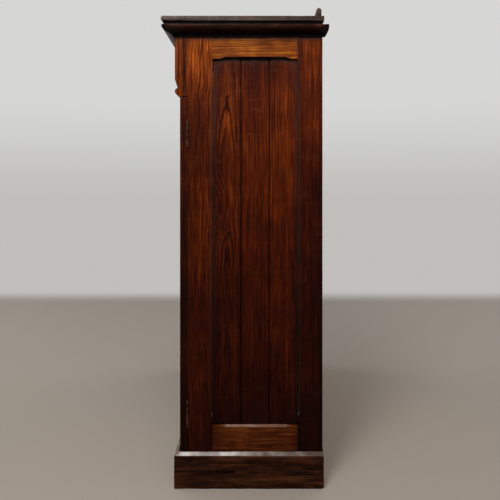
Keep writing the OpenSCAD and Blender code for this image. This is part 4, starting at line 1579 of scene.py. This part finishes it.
@dataclass
class SideFrame(Framing):
    """One end of the cupboard.

    Attributes:
        face_x: where its outer face is.
        cornice_z: height of the cornice's foot.
        cornice_shade: share of thin dirt and painted shade under the cornice.
        smoke_low: share of dirt on the bottom rail.
        joint: both ends, as y and z, of the joint between the front stile and its lug.
        joint_cut: depth and width of that joint.
        front_figures: figures of the front stile's lug and of the stile.
        rear_figure: figure of the rear stile.
        head_figure: figure of the top rail.
        foot_figure: figure of the bottom rail.
        stains: lighter and darker places on the frame and the boards: stains, and painted shade.
        board_stains: those on the boards alone.
    """

    front_y: float = -139.75 * MM
    opening: float = 208 * MM
    opening_z: tuple[float, float] = (151.5 * MM, 1042.5 * MM)
    boards: int = 3
    board_t: float = 12 * MM
    board_figures: tuple[Figure, ...] = (
        Figure(0.000, 0.010, 0.046, 0.84, 0.0, (0.534, -0.016, 1.9), 1.7, 1.6),
        Figure(0.095, 0.030, 0.004, 0.74, -0.15, lines=1.2, waves=1.3),
        Figure(0.110, 0.022, 0.003, 0.88, -0.1, waves=1.2))
    face_x: float = 475 * MM
    cornice_z: float = 1094.5 * MM
    cornice_shade: float = 0.28
    smoke_low: float = 0.2
    joint: tuple[tuple[float, float], tuple[float, float]] = (
        (-153.6 * MM, 1128.5 * MM), (-143 * MM, 949.4 * MM))
    joint_cut: tuple[float, float] = (60 * MM, 0.9 * MM)
    front_figures: tuple[Figure, ...] = (
        Figure(0.052, 0.040, 0.012, 1.05, 0.05, lines=1.1, waves=2.2),
        Figure(0.016, 0.016, 0.030, 1.25, 0.15, waves=1.5))
    rear_figure: Figure = Figure(0.085, 0.040, 0.006, 0.6, -0.1)
    # The rails' raised tones stand partly for lighter wood and partly for a painted sheen on
    # their crosswise grain; the bottom rail's also lifts it out of the painted shade towards the
    # floor.
    head_figure: Figure = Figure(0.11, 0.03, 0.004, 1.1, 0.7, lines=0.6)
    foot_figure: Figure = Figure(0.11, 0.03, 0.004, 4.3, 1.2, lines=0.3, waves=1.2)
    stains: tuple[StainAndShade, ...] = (
        StainAndShade(-125, 850, 50, 130, 0.42), StainAndShade(-120, 1000, 35, 50, 1.3),
        StainAndShade(-110, 905, 32, 110, 0.56), StainAndShade(-110, 815, 32, 60, 0.8),
        StainAndShade(-80, 440, 75, 170, 0.62), StainAndShade(-148.5, 1040, 2.5, 130, 0.3),
        StainAndShade(-147, 985, 2.5, 80, 0.35), StainAndShade(-171, 970, 6, 9, 0.3),
        StainAndShade(-163, 1035, 13, 75, 0.55), StainAndShade(-123, 695, 2.5, 9, 0.35),
        StainAndShade(-79, 118, 9, 60, 0.5), StainAndShade(170, 869, 12, 42, 2.2),
        StainAndShade(184, 600, 8, 2000, 0.45), StainAndShade(160, 690, 28, 120, 0.5),
        StainAndShade(160, 450, 28, 130, 0.8), StainAndShade(130.5, 600, 4, 3000, 0.3),
        StainAndShade(130, 118, 9, 60, 0.5), StainAndShade(28, 80, 400, 190, 0.7))
    # The two broad bands at the top, at 1028 and 915 mm, darken the boards under the top rail:
    # painted shade.
    board_stains: tuple[StainAndShade, ...] = (
        StainAndShade(30, 1028, 400, 58, 0.42), StainAndShade(24, 915, 400, 90, 0.6),
        StainAndShade(24, 920, 33, 80, 0.75), StainAndShade(-45, 800, 35, 60, 0.9),
        StainAndShade(95, 700, 33, 120, 0.82), StainAndShade(95, 450, 33, 120, 0.8),
        StainAndShade(-44, 881, 12, 55, 1.8), StainAndShade(-48, 790, 6, 42, 0.38),
        StainAndShade(-42, 541, 8, 90, 0.52), StainAndShade(60, 777, 60, 18, 0.8),
        StainAndShade(60, 417, 70, 20, 0.7), StainAndShade(92, 900, 12, 110, 1.5),
        StainAndShade(82, 662, 12, 80, 1.35), StainAndShade(60, 215, 70, 100, 0.66),
        StainAndShade(-68, 600, 6, 2000, 0.75))

    def across(self, points: np.ndarray) -> np.ndarray:
        """How far points are behind the front stile."""
        return points[:, 1] - self.front_y - self.stile

    def haze_and_cornice_shade(self, points: np.ndarray) -> np.ndarray:
        """Share of thin dirt and painted shade under the cornice, and of thin dirt on the bottom
        rail, at points.
        """
        under = self.cornice_shade * np.exp(-np.abs(self.cornice_z - points[:, 2]) / self.reach)
        return np.where(points[:, 2] < self.opening_z[0], self.smoke_low, under)

    def jointed(self, node: str) -> bpy.types.Mesh:
        """The front stile, with an open joint where its shaped lug is glued on.

        Args:
            node: the stile's CAD node.

        Returns:
            The mesh.
        """
        (y0, z0), (y1, z1) = self.joint
        saw = bpy.data.meshes.new("saw")
        with editing(saw) as bm:
            bmesh.ops.create_cube(bm, size=1.0)
        middle = (self.hand.value * self.face_x, (y0 + y1) / 2, (z0 + z1) / 2)
        saw.transform(Matrix.Translation(middle)
                      @ Matrix.Rotation(math.atan2(y1 - y0, z0 - z1), 4, "X")
                      @ Matrix.Diagonal((*self.joint_cut, math.hypot(y1 - y0, z1 - z0), 1)))
        stile, tool = stand(node, self.shop.copy_of(node, 0.0)), stand("saw", saw)
        cut = stile.modifiers.new("joint", "BOOLEAN")
        cut.operation, cut.solver, cut.object = "DIFFERENCE", "EXACT", tool
        return self.shop.flattened(baked(stile, tool))

    def build(self) -> None:
        """Builds and dresses the frame and its boards."""
        side, shop = self.hand.side, self.shop
        shown = dict(exact=True, step=14 * MM)
        framed = dict(shown, stains=self.stains, grime=self.haze_and_cornice_shade)
        node = side + "_front_stile"
        shop.timbered(self.jointed(node), node + "_dressed", Finish.STAINED,
                      Timber(Axis.Z, self.front_figures, **framed), "carcase", node)
        for part, axis, figure, under in (("rear_stile", Axis.Z, self.rear_figure, 0.0),
                                          ("top_rail", Axis.Y, self.head_figure, 1.0),
                                          ("bottom_rail", Axis.Y, self.foot_figure, 0.0)):
            shop.wood(f"{side}_{part}", Finish.STAINED,
                      Timber(axis, (figure,), under=under, **framed))
        place = sideways(self.face_x - self.recess, self.front_y + self.stile, 0)
        self.fill(side + "_side_boards", place, "carcase",
                  stains=self.stains + self.board_stains, **shown)


@dataclass
class Door(Framing):
    """A framed door.

    Attributes:
        meeting_x: distance from the middle of the cupboard to its meeting edge.
        stiles: the stiles' figures, by name.
        rail_figure: figure of the rails.
    """

    front_y: float = -158.75 * MM
    opening: float = 354 * MM
    opening_z: tuple[float, float] = (149.5 * MM, 889.5 * MM)
    boards: int = 5
    board_t: float = 9 * MM
    board_figures: tuple[Figure, ...] = (
        Cut.RIFT.board(), Cut.HEART.board(0.95), Figure(0.10, 0.03, 0.004, 0.85, -0.12),
        Figure(0.12, 0.02, 0.003), Figure(0.01, 0.03, 0.040, 0.9, -0.05))
    seed: int = 5
    meeting_x: float = 1 * MM
    stiles: tuple[tuple[str, Figure], ...] = (
        ("hinge_stile", Figure(0.07, 0.05, 0.012, 0.38)),
        ("meeting_stile", Figure(0.07, 0.05, 0.012, 0.9)))
    rail_figure: Figure = Figure(0.1, 0.04, 0.006, 1.1)

    def across(self, points: np.ndarray) -> np.ndarray:
        """How far points are from the meeting stile."""
        return np.abs(points[:, 0]) - self.meeting_x - self.stile

    def build(self) -> None:
        """Builds and dresses the door."""
        shop, body = self.shop, self.hand.side + "_door"
        for part, figure in self.stiles:
            shop.wood(f"{body}_{part}", Finish.STAINED, Timber(Axis.Z, (figure,)), body)
        for part in ("top_rail", "bottom_rail"):
            shop.wood(f"{body}_{part}", Finish.STAINED,
                      Timber(Axis.X, (self.rail_figure,), under=0.9), body)
        place = Matrix.Translation((self.meeting_x + self.stile, self.front_y + self.recess, 0))
        self.fill(body + "_boards", place, body)


@dataclass
class Carcase:
    """Bottom, back, shelves and the rails that tie the sides together.

    Attributes:
        shop: the shop that dresses it.
        back_y: where the back's inner face is.
        back_t: thickness of the back boards.
        back_w: width of the back.
        boards: number of back boards.
        uneven: how far a back board may stand in or out.
        seed: seed of that unevenness.
        joint_reach: how far dirt reaches from the joints between them.
        joint_share: share of dirt in those joints.
        nail_rows: heights of the nails.
        nail_shares: places of the nails across a board.
        nail_stray: how far a nail may stray along X and Z, in millimetres.
        nail: sizes of the nails.
        back_figures: figures of the back boards.
    """

    shop: Joinery
    back_y: float = 176.25 * MM
    back_t: float = 12 * MM
    back_w: float = 929.8 * MM
    boards: int = 11
    uneven: float = 0.3 * MM
    seed: int = 3
    joint_reach: float = 1.6 * MM
    joint_share: float = 0.75
    nail_rows: tuple[float, ...] = (96 * MM, 304.5 * MM, 512.5 * MM, 720.5 * MM, 1097 * MM)
    nail_shares: tuple[float, float] = (0.25, 0.75)
    nail_stray: tuple[float, float] = (3, 5)
    nail: dict[str, float] = field(default_factory=lambda: dict(
        Radius=2.2 * MM, Rise=0.3 * MM, Sink=0.5 * MM, Slot=0.0, Shank=1.0 * MM,
        Length=9 * MM))
    back_figures: tuple[Figure, ...] = (
        Cut.FLAT.board(), Cut.RIFT.board(0.8), Figure(0.0, 0.03, 0.04, 0.96),
        Cut.QUARTER.board(1.12), Figure(0.01, 0.04, 0.05, 0.86))

    @property
    def row(self) -> Matchboarding:
        """The back boards."""
        return Matchboarding("back_boards", self.boards, self.back_w, 0.0, self.back_t,
                             self.uneven)

    def joints(self, points: np.ndarray) -> np.ndarray:
        """Share of dirt at points, from the joints between the back boards."""
        off = np.abs((points[:, 0] / self.row.step + self.boards / 2 + 0.5) % 1 - 0.5)
        return self.joint_share * np.exp(-(off * self.row.step / self.joint_reach) ** 2)

    def build(self) -> None:
        """Builds and dresses the pieces."""
        shop = self.shop
        flat, rift = (Cut.FLAT.board(),), (Cut.RIFT.board(),)
        for node, axis, figures in (
                ("bottom_board", Axis.X, flat), ("top_shelf", Axis.X, flat),
                ("middle_shelf", Axis.X, flat), ("bottom_shelf", Axis.X, flat),
                ("back_rail", Axis.X, rift), ("front_top_rail", Axis.X, rift),
                ("shelf_battens", Axis.Y, rift)):
            shop.wood(node, Finish.BARE, Timber(axis, figures, **HIDDEN))
        self.back()

    def back(self) -> None:
        """Builds and dresses the back boards and their nails."""
        shop, row = self.shop, self.row
        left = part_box(row.node)[0][0]
        cuts = [left + i * row.step + side * 2 * self.joint_reach
                for i in range(1, self.boards) for side in (-1, 1)]
        row.lay(shop, Matrix.Translation((left, self.back_y, 0)), self.seed, (Axis.X, cuts),
                Timber(Axis.Z, self.back_figures, grime=self.joints), Finish.BARE)
        stray_x, stray_z = self.nail_stray
        spots = [(left + (i + share) * row.step + shop.rng.uniform(-stray_x, stray_x) * MM,
                  self.back_y + self.back_t, z + shop.rng.uniform(-stray_z, stray_z) * MM)
                 for z in self.nail_rows for i in range(self.boards)
                 for share in self.nail_shares]
        shop.heads("back_board_nails", Finish.IRON, "carcase", spots, Facing=REARWARD,
                   **self.nail)


@dataclass
class Crown:
    """Frieze, cornice, top board and gallery.

    Attributes:
        shop: the shop that dresses it.
        side_x: where the sides' outer faces are.
        front_y: where the frieze's face is.
        rear_y: where the cornice's side runs end.
        cornice_z: height of the cornice's foot.
        cornice_h: the cornice's height.
        cornice_out: how far it stands out.
        packing_in: how far the packing above it stands back from its edge.
        packing_h: height of that packing.
        packing_rear_y: where its side runs end.
        band: height of the flat band at the cornice's top.
        foot: how far its foot stands out, and how high it is.
        lean: how far its side runs' ends slope in at the foot.
        curve: two joined curves of its profile, as shares of the rest outwards and upwards.
        frieze_figure: figure of the frieze.
        bead_figure: figure of its bead.
        cornice_figure: figure of the cornice and the packing.
        top_figure: figure of the top board.
        gallery_figure: figure of the gallery.
        cornice_grime: painted shade at the cornice's foot, and what its height takes off.
        top_stains: painted shade that darkens the top towards the back.
    """

    shop: Joinery
    side_x: float = 475 * MM
    front_y: float = -171.25 * MM
    rear_y: float = 201.25 * MM
    cornice_z: float = 1094.5 * MM
    cornice_h: float = 25.5 * MM
    cornice_out: float = 28.5 * MM
    packing_in: float = 4 * MM
    packing_h: float = 7.5 * MM
    packing_rear_y: float = 186 * MM
    band: float = 3 * MM
    foot: tuple[float, float] = (4.5 * MM, 3 * MM)
    lean: float = 7.5 * MM
    curve: tuple[tuple[float, float], ...] = (
        (0, 0), (0.02, 0.2), (0.3, 0.22), (0.5, 0.37), (0.8, 0.58), (1, 0.7), (1, 1))
    frieze_figure: Figure = Figure(0.03, 0.05, 0.02, 0.95)
    bead_figure: Figure = Figure(tone=0.7)
    cornice_figure: Figure = Figure(tone=0.9)
    top_figure: Figure = Figure(0.02, 0.06, 0.03, 1.1)
    gallery_figure: Figure = Figure(tone=0.55)
    cornice_grime: tuple[float, float] = (1.5, 1.8)
    top_stains: tuple[StainAndShade, ...] = (StainAndShade(190, 1133, 200, 500, 0.35),)

    def section(self) -> list[tuple[float, float]]:
        """Outline of the cornice.

        Returns:
            Its points, as out and minus up.
        """
        wide = self.cornice_out - self.foot[0]
        high = self.cornice_h - self.band - self.foot[1]
        points = [(self.foot[0] + x * wide, self.foot[1] + z * high) for x, z in self.curve]
        steps, ogee = 10, []
        for ends in (points[:4], points[3:]):
            for i in range(steps):
                t = i / steps
                s = 1 - t
                weights = (s * s * s, 3 * s * s * t, 3 * s * t * t, t * t * t)
                ogee.append(tuple(sum(w * p[k] for w, p in zip(weights, ends))
                                  for k in range(2)))
        outline = [(0.0, 0.0), (self.foot[0], 0.0), *ogee, points[-1],
                   (self.cornice_out, self.cornice_h), (0.0, self.cornice_h)]
        return [(x, -z) for x, z in reversed(outline)]

    def grime(self, points: np.ndarray) -> np.ndarray:
        """Painted shade that thickens towards the cornice's foot, and a painted shadow that
        fills the gap above it.

        Args:
            points: the moulding's points.

        Returns:
            Its share at each of them.
        """
        foot, fall = self.cornice_grime
        share = (points[:, 2] - self.cornice_z) / self.cornice_h
        return np.where(share > 1.001, 1.0, np.clip(foot - fall * share, 0.0, 1.0))

    def lay(self, section: Sequence[tuple[float, float]], z: float, rear: float, lean: float,
            name: str, replaces: bool) -> None:
        """Lays a moulding round the front and both sides, mitred at the corners.

        Args:
            section: its outline, as out and minus up.
            z: the height of its foot.
            rear: where its side runs end.
            lean: how far their ends slope in at the foot.
            name: the pieces' name.
            replaces: whether it stands for CAD nodes of that name.
        """
        shown = dict(edge=0.6 * MM, step=20 * MM, wear=0.25 * MM, grime=self.grime)
        runs = ((None, Axis.X, 2 * self.side_x, 0.0,
                 Matrix.Translation((-self.side_x, self.front_y, z))),
                *((hand, Axis.Y, rear - self.front_y, lean,
                   hand.mirror(sideways(self.side_x, self.front_y, z))) for hand in Hand))
        for hand, axis, length, slope, place in runs:
            mesh = Trees.grow("moulding_run", Section=Trees.guide(section, closed=True),
                              Length=length, Mitre_Start=1.0, Mitre_End=float(hand is None),
                              Lean=slope, Knee=self.cornice_h * 2 / 3,
                              Material=Finish.MOULDING.material)
            mesh.transform(place)
            if hand is Hand.LEFT:
                mesh.flip_normals()
            node = f"{name}_{hand.side if hand else 'front'}"
            self.shop.timbered(mesh, node + "_dressed", Finish.MOULDING,
                               Timber(axis, (self.cornice_figure,), **shown), "carcase",
                               *([node] if replaces else []))

    def build(self) -> None:
        """Builds and dresses the pieces."""
        shop = self.shop
        shop.wood("frieze_board", Finish.STAINED, Timber(Axis.X, (self.frieze_figure,)))
        shop.wood("frieze_bead", Finish.STAINED, Timber(Axis.X, (self.bead_figure,)))
        shop.wood("frieze_blocks", Finish.BARE, Timber())
        self.lay(self.section(), self.cornice_z, self.rear_y, self.lean, "cornice", True)
        # The packing is dark all over: a painted shadow for the gap under the top board.
        wide, high = self.cornice_out - self.packing_in, self.packing_h
        packing = [(0.0, -high), (wide, -high), (wide, 0.0), (0.0, 0.0)]
        self.lay(packing, self.cornice_z + self.cornice_h, self.packing_rear_y, 0.0,
                 "cornice_packing", False)
        shop.wood("top_board", Finish.TOP,
                  Timber(Axis.X, (self.top_figure,), edge=1.2 * MM, step=30 * MM,
                         wear=0.4 * MM, under=1.0, stains=self.top_stains))
        shop.wood("back_gallery", Finish.TOP,
                  Timber(Axis.X, (self.gallery_figure,), wear=0.3 * MM))


@dataclass
class Plinth:
    """The moulded base and what braces it inside.

    Attributes:
        shop: the shop that dresses it.
        figure: figure of its outer boards.
        stains: lighter and darker places on its sides.
    """

    shop: Joinery
    figure: Figure = Figure(0.05, 0.05, 0.012)
    stains: tuple[StainAndShade, ...] = (
        StainAndShade(160, 52, 36, 14, 0.45), StainAndShade(-120, 8, 46, 14, 0.5),
        StainAndShade(165, 12, 40, 14, 1.5), StainAndShade(-100, 62, 60, 16, 1.35))

    def build(self) -> None:
        """Builds and dresses the pieces."""
        shop, figures = self.shop, (self.figure,)
        shown = dict(edge=1.6 * MM, step=14 * MM, wear=0.7 * MM)
        shop.wood("plinth_front", Finish.PLINTH, Timber(Axis.X, figures, **shown))
        for hand in Hand:
            shop.wood("plinth_" + hand.side, Finish.PLINTH,
                      Timber(Axis.Y, figures, stains=self.stains, **shown))
        for part, axis in (("back", Axis.X), ("bearers", Axis.X), ("blocks", Axis.Z)):
            shop.wood("plinth_" + part, Finish.BARE, Timber(axis, **HIDDEN))


@dataclass
class Ironmongery:
    """Hinges, lock, key, knob and bolts.

    Attributes:
        shop: the shop that dresses it.
        screw_x: distance of the hinges' screws from the middle of the cupboard.
        hinge_z: heights of the hinges' feet.
        screw_z: heights of the screws above them.
        lock_screws: places of the lock's screws, as x and z.
        plate_pins: heights of the keyhole plate's pins.
        lock_x: where that plate is.
        rod_x: where the bolts are.
        plate_t: thickness of the bolt plates.
        plate_screws: distance of their screws from the rod, and from their ends.
        screw: sizes of the hinges' screws.
        small: sizes of the small screws.
    """

    shop: Joinery
    screw_x: float = 466 * MM
    hinge_z: tuple[float, float] = (148.5 * MM, 827 * MM)
    screw_z: tuple[float, ...] = (9 * MM, 31.75 * MM, 54.5 * MM)
    lock_screws: tuple[tuple[float, float], ...] = tuple(
        (x * MM, z * MM) for x in (8.5, 48.5) for z in (508.5, 546.5))
    plate_pins: tuple[float, ...] = (510 * MM, 529 * MM)
    lock_x: float = 28.5 * MM
    rod_x: float = -31 * MM
    plate_t: float = 1.5 * MM
    plate_screws: tuple[float, float] = (7.6 * MM, 20 * MM)
    screw: dict[str, float] = field(default_factory=lambda: dict(
        Radius=3 * MM, Rise=0.0, Sink=1.2 * MM, Slot=0.8 * MM, Shank=1.5 * MM,
        Length=10.5 * MM))
    small: dict[str, float] = field(default_factory=lambda: dict(
        Radius=1.9 * MM, Rise=0.4 * MM, Sink=0.6 * MM, Slot=0.5 * MM, Shank=1.0 * MM,
        Length=6 * MM))

    def hinges(self) -> None:
        """Dresses the hinges and the bolts' catches and sets the hinges' screws."""
        shop = self.shop
        heights = [low + up for low in self.hinge_z for up in self.screw_z]
        shop.metal("carcase_hinge_leaves", Finish.STEEL, "carcase")
        shop.metal("hinge_pins", Finish.STEEL, "carcase")
        shop.metal("bolt_catches", Finish.BRASS, "carcase", 0.2 * MM)
        node = "carcase_hinge_screws"
        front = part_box(node)[0][1]
        shop.heads(node + "_slotted", Finish.STEEL, "carcase",
                   [(hand.value * self.screw_x, front, z) for hand in Hand for z in heights],
                   node, **self.screw)
        for hand in Hand:
            body = hand.side + "_door"
            shop.metal(body + "_hinge_leaves", Finish.STEEL, body)
            node = body + "_hinge_screws"
            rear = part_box(node)[1][1]
            shop.heads(node + "_slotted", Finish.STEEL, body,
                       [(hand.value * self.screw_x, rear, z) for z in heights],
                       node, Facing=REARWARD, **self.screw)

    def lock(self) -> None:
        """Dresses the lock, its key, the knob and the keyhole plate."""
        shop = self.shop
        for node, finish, body, edge in (
                ("door_knob", Finish.BRASS, "right_door", 0.0),
                ("keyhole_plate", Finish.BRASS, "right_door", 0.0),
                ("lock_case", Finish.IRON, "right_door", 0.3 * MM),
                ("lock_keeper", Finish.IRON, "left_door", 0.3 * MM),
                ("lock_bolt", Finish.BRASS, "lock_bolt", 0.3 * MM),
                ("key", Finish.IRON, "key", 0.0)):
            shop.metal(node, finish, body, edge)
        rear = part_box("lock_case")[1][1]
        shop.heads("lock_case_screws", Finish.IRON, "right_door",
                   [(x, rear, z) for x, z in self.lock_screws], Facing=REARWARD,
                   **{**self.small, "Length": 0.6 * MM})
        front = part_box("keyhole_plate")[0][1]
        shop.heads("keyhole_plate_pins", Finish.BRASS, "right_door",
                   [(self.lock_x, front, z) for z in self.plate_pins],
                   **{**self.small, "Radius": 1.1 * MM, "Rise": 0.2 * MM, "Slot": 0.0})

    def bolts(self) -> None:
        """Dresses the bolts and their plates and sets the screws."""
        shop = self.shop
        aside, inset = self.plate_screws
        for end in ("top", "bottom"):
            plate = end + "_bolt_plate"
            shop.metal(plate, Finish.BRASS, "left_door")
            shop.metal(end + "_bolt", Finish.BRASS, end + "_bolt")
            low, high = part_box(plate)
            spots = [(self.rod_x + x, low[1] + self.plate_t, z) for x in (-aside, aside)
                     for z in (low[2] + inset, high[2] - inset)]
            shop.heads(end + "_bolt_screws", Finish.BRASS, "left_door", spots,
                       Facing=REARWARD, **self.small)

    def build(self) -> None:
        """Dresses the pieces and sets their screws."""
        self.hinges()
        self.lock()
        self.bolts()


@dataclass(frozen=True)
class Lamp:
    """A soft box.

    Attributes:
        name: its name.
        at: its place.
        aim: the point that it faces.
        size: its width and height.
        radiance: its brightness.
        colour: the light's colour.
    """

    name: str
    at: Place
    aim: Place
    size: tuple[float, float]
    radiance: float
    colour: Colour = (1.0, 0.97, 0.945)

    def build(self) -> None:
        """Hangs it."""
        data = bpy.data.lights.new(self.name, "AREA")
        data.shape = "RECTANGLE"
        data.size, data.size_y = self.size
        data.energy = self.radiance * math.pi * self.size[0] * self.size[1]
        data.color = self.colour
        lamp = stand(self.name, data)
        lamp.location = self.at
        lamp.visible_camera = False
        way = Vector(self.aim) - Vector(self.at)
        lamp.rotation_euler = way.to_track_quat("-Z", "Y").to_euler()


@dataclass
class Studio:
    """Camera, lamps, backdrop and floor.

    Attributes:
        eye: the camera's place.
        lens: its focal length for a frame 36 mm wide.
        shift: how far the frame is shifted, in widths.
        horizon: the backdrop's colour low down.
        sky: its colour higher up.
        glow: the light that it gives.
        ground: the floor's colour.
        ground_size: half the floor's width.
        ground_fade: where it starts and ends to fade into the backdrop.
        lamps: the soft boxes.
    """

    eye: Place = (1.935, 0.02875, 0.75)
    lens: float = 43.2
    shift: tuple[float, float] = (-0.014, -0.142)
    horizon: Colour = srgb(190, 189, 185)
    sky: Colour = srgb(213, 213, 211)
    glow: Colour = (0.24, 0.24, 0.24)
    ground: Colour = srgb(186, 176, 165)
    ground_size: float = 9.0
    ground_fade: tuple[float, float] = (1.7, 2.1)
    lamps: tuple[Lamp, ...] = (
        Lamp("ceiling_strip", (1.35, -0.25, 1.95), (0.45, 0.0, 0.6), (0.36, 1.05), 14.0),
        Lamp("side_box", (2.9, 0.4, 2.1), (0.45, 0.0, 0.8), (1.8, 1.8), 0.9),
        Lamp("front_box", (-0.9, -2.6, 1.9), (0.0, 0.0, 0.6), (1.8, 1.8), 2.0),
        Lamp("back_box", (-1.6, 2.4, 2.0), (0.0, 0.0, 0.6), (1.6, 1.6), 1.6))

    def camera(self) -> None:
        """Sets the camera where the photograph was taken."""
        data = bpy.data.cameras.new("camera")
        data.lens = self.lens
        data.sensor_width = 36
        data.shift_x, data.shift_y = self.shift
        data.clip_start = 20 * MM
        camera = stand("camera", data)
        camera.location = self.eye
        camera.rotation_euler = (math.radians(90), 0, math.radians(90))
        bpy.context.scene.camera = camera

    def backdrop(self) -> None:
        """A pale backdrop: what is seen of it is brighter than the light it gives."""
        world = bpy.data.worlds.new("backdrop")
        world.use_nodes = True
        bpy.context.scene.world = world
        b = Bench(world.node_tree)
        path = b.add("ShaderNodeLightPath", output="Is Camera Ray")
        seen = path.at_least(path.beside("Is Glossy Ray"))
        seen = seen.at_least(path.beside("Is Transmission Ray"))
        up = b.add("ShaderNodeTexCoord", output="Generated").split()[2]
        shown = b.blend(up.band(-0.045, 0.14), self.horizon, self.sky)
        shader = world.node_tree.nodes["Background"]
        b.wire(shader.inputs["Color"], b.blend(seen, self.glow, shown))
        b.wire(shader.inputs["Strength"], 1.0)

    def floor(self) -> None:
        """A pale square floor whose edge fades into the backdrop."""
        mesh = bpy.data.meshes.new("floor")
        with editing(mesh) as bm:
            bmesh.ops.create_grid(bm, x_segments=1, y_segments=1, size=self.ground_size)
        material, b, shader = new_material("pale_floor")
        for key, value in (("Base Color", self.ground), ("Roughness", 0.6),
                           ("Specular IOR Level", 0.2)):
            b.wire(shader.inputs[key], value)
        x, y, _ = b.add("ShaderNodeTexCoord", output="Object").split()
        path = b.add("ShaderNodeLightPath", output="Is Camera Ray")
        far = abs(x).at_least(abs(y)).band(*self.ground_fade)
        far = far * path.at_least(path.beside("Is Glossy Ray"))
        glow = b.add("ShaderNodeEmission", {"Color": self.horizon})
        mixed = b.add("ShaderNodeMixShader", {0: far, 1: Flow(b, shader.outputs[0]), 2: glow})
        b.wire(material.node_tree.nodes["Material Output"].inputs["Surface"], mixed)
        mesh.materials.append(material)
        stand("floor", mesh)

    def build(self) -> None:
        """Sets everything up."""
        self.camera()
        self.backdrop()
        self.floor()
        for lamp in self.lamps:
            lamp.build()
        bpy.context.scene.view_settings.view_transform = "Standard"


def main() -> None:
    """Builds the cupboard's looks, sub-assembly by sub-assembly."""
    logging.basicConfig(level=logging.INFO, format="%(name)s: %(message)s")
    Studio().build()
    shop = Joinery(SEED, DirtAndShade())
    for hand in Hand:
        SideFrame(shop, hand).build()
    Carcase(shop).build()
    Crown(shop).build()
    Plinth(shop).build()
    for hand in Hand:
        Door(shop, hand).build()
    Ironmongery(shop).build()


if __name__ == "__main__":
    main()
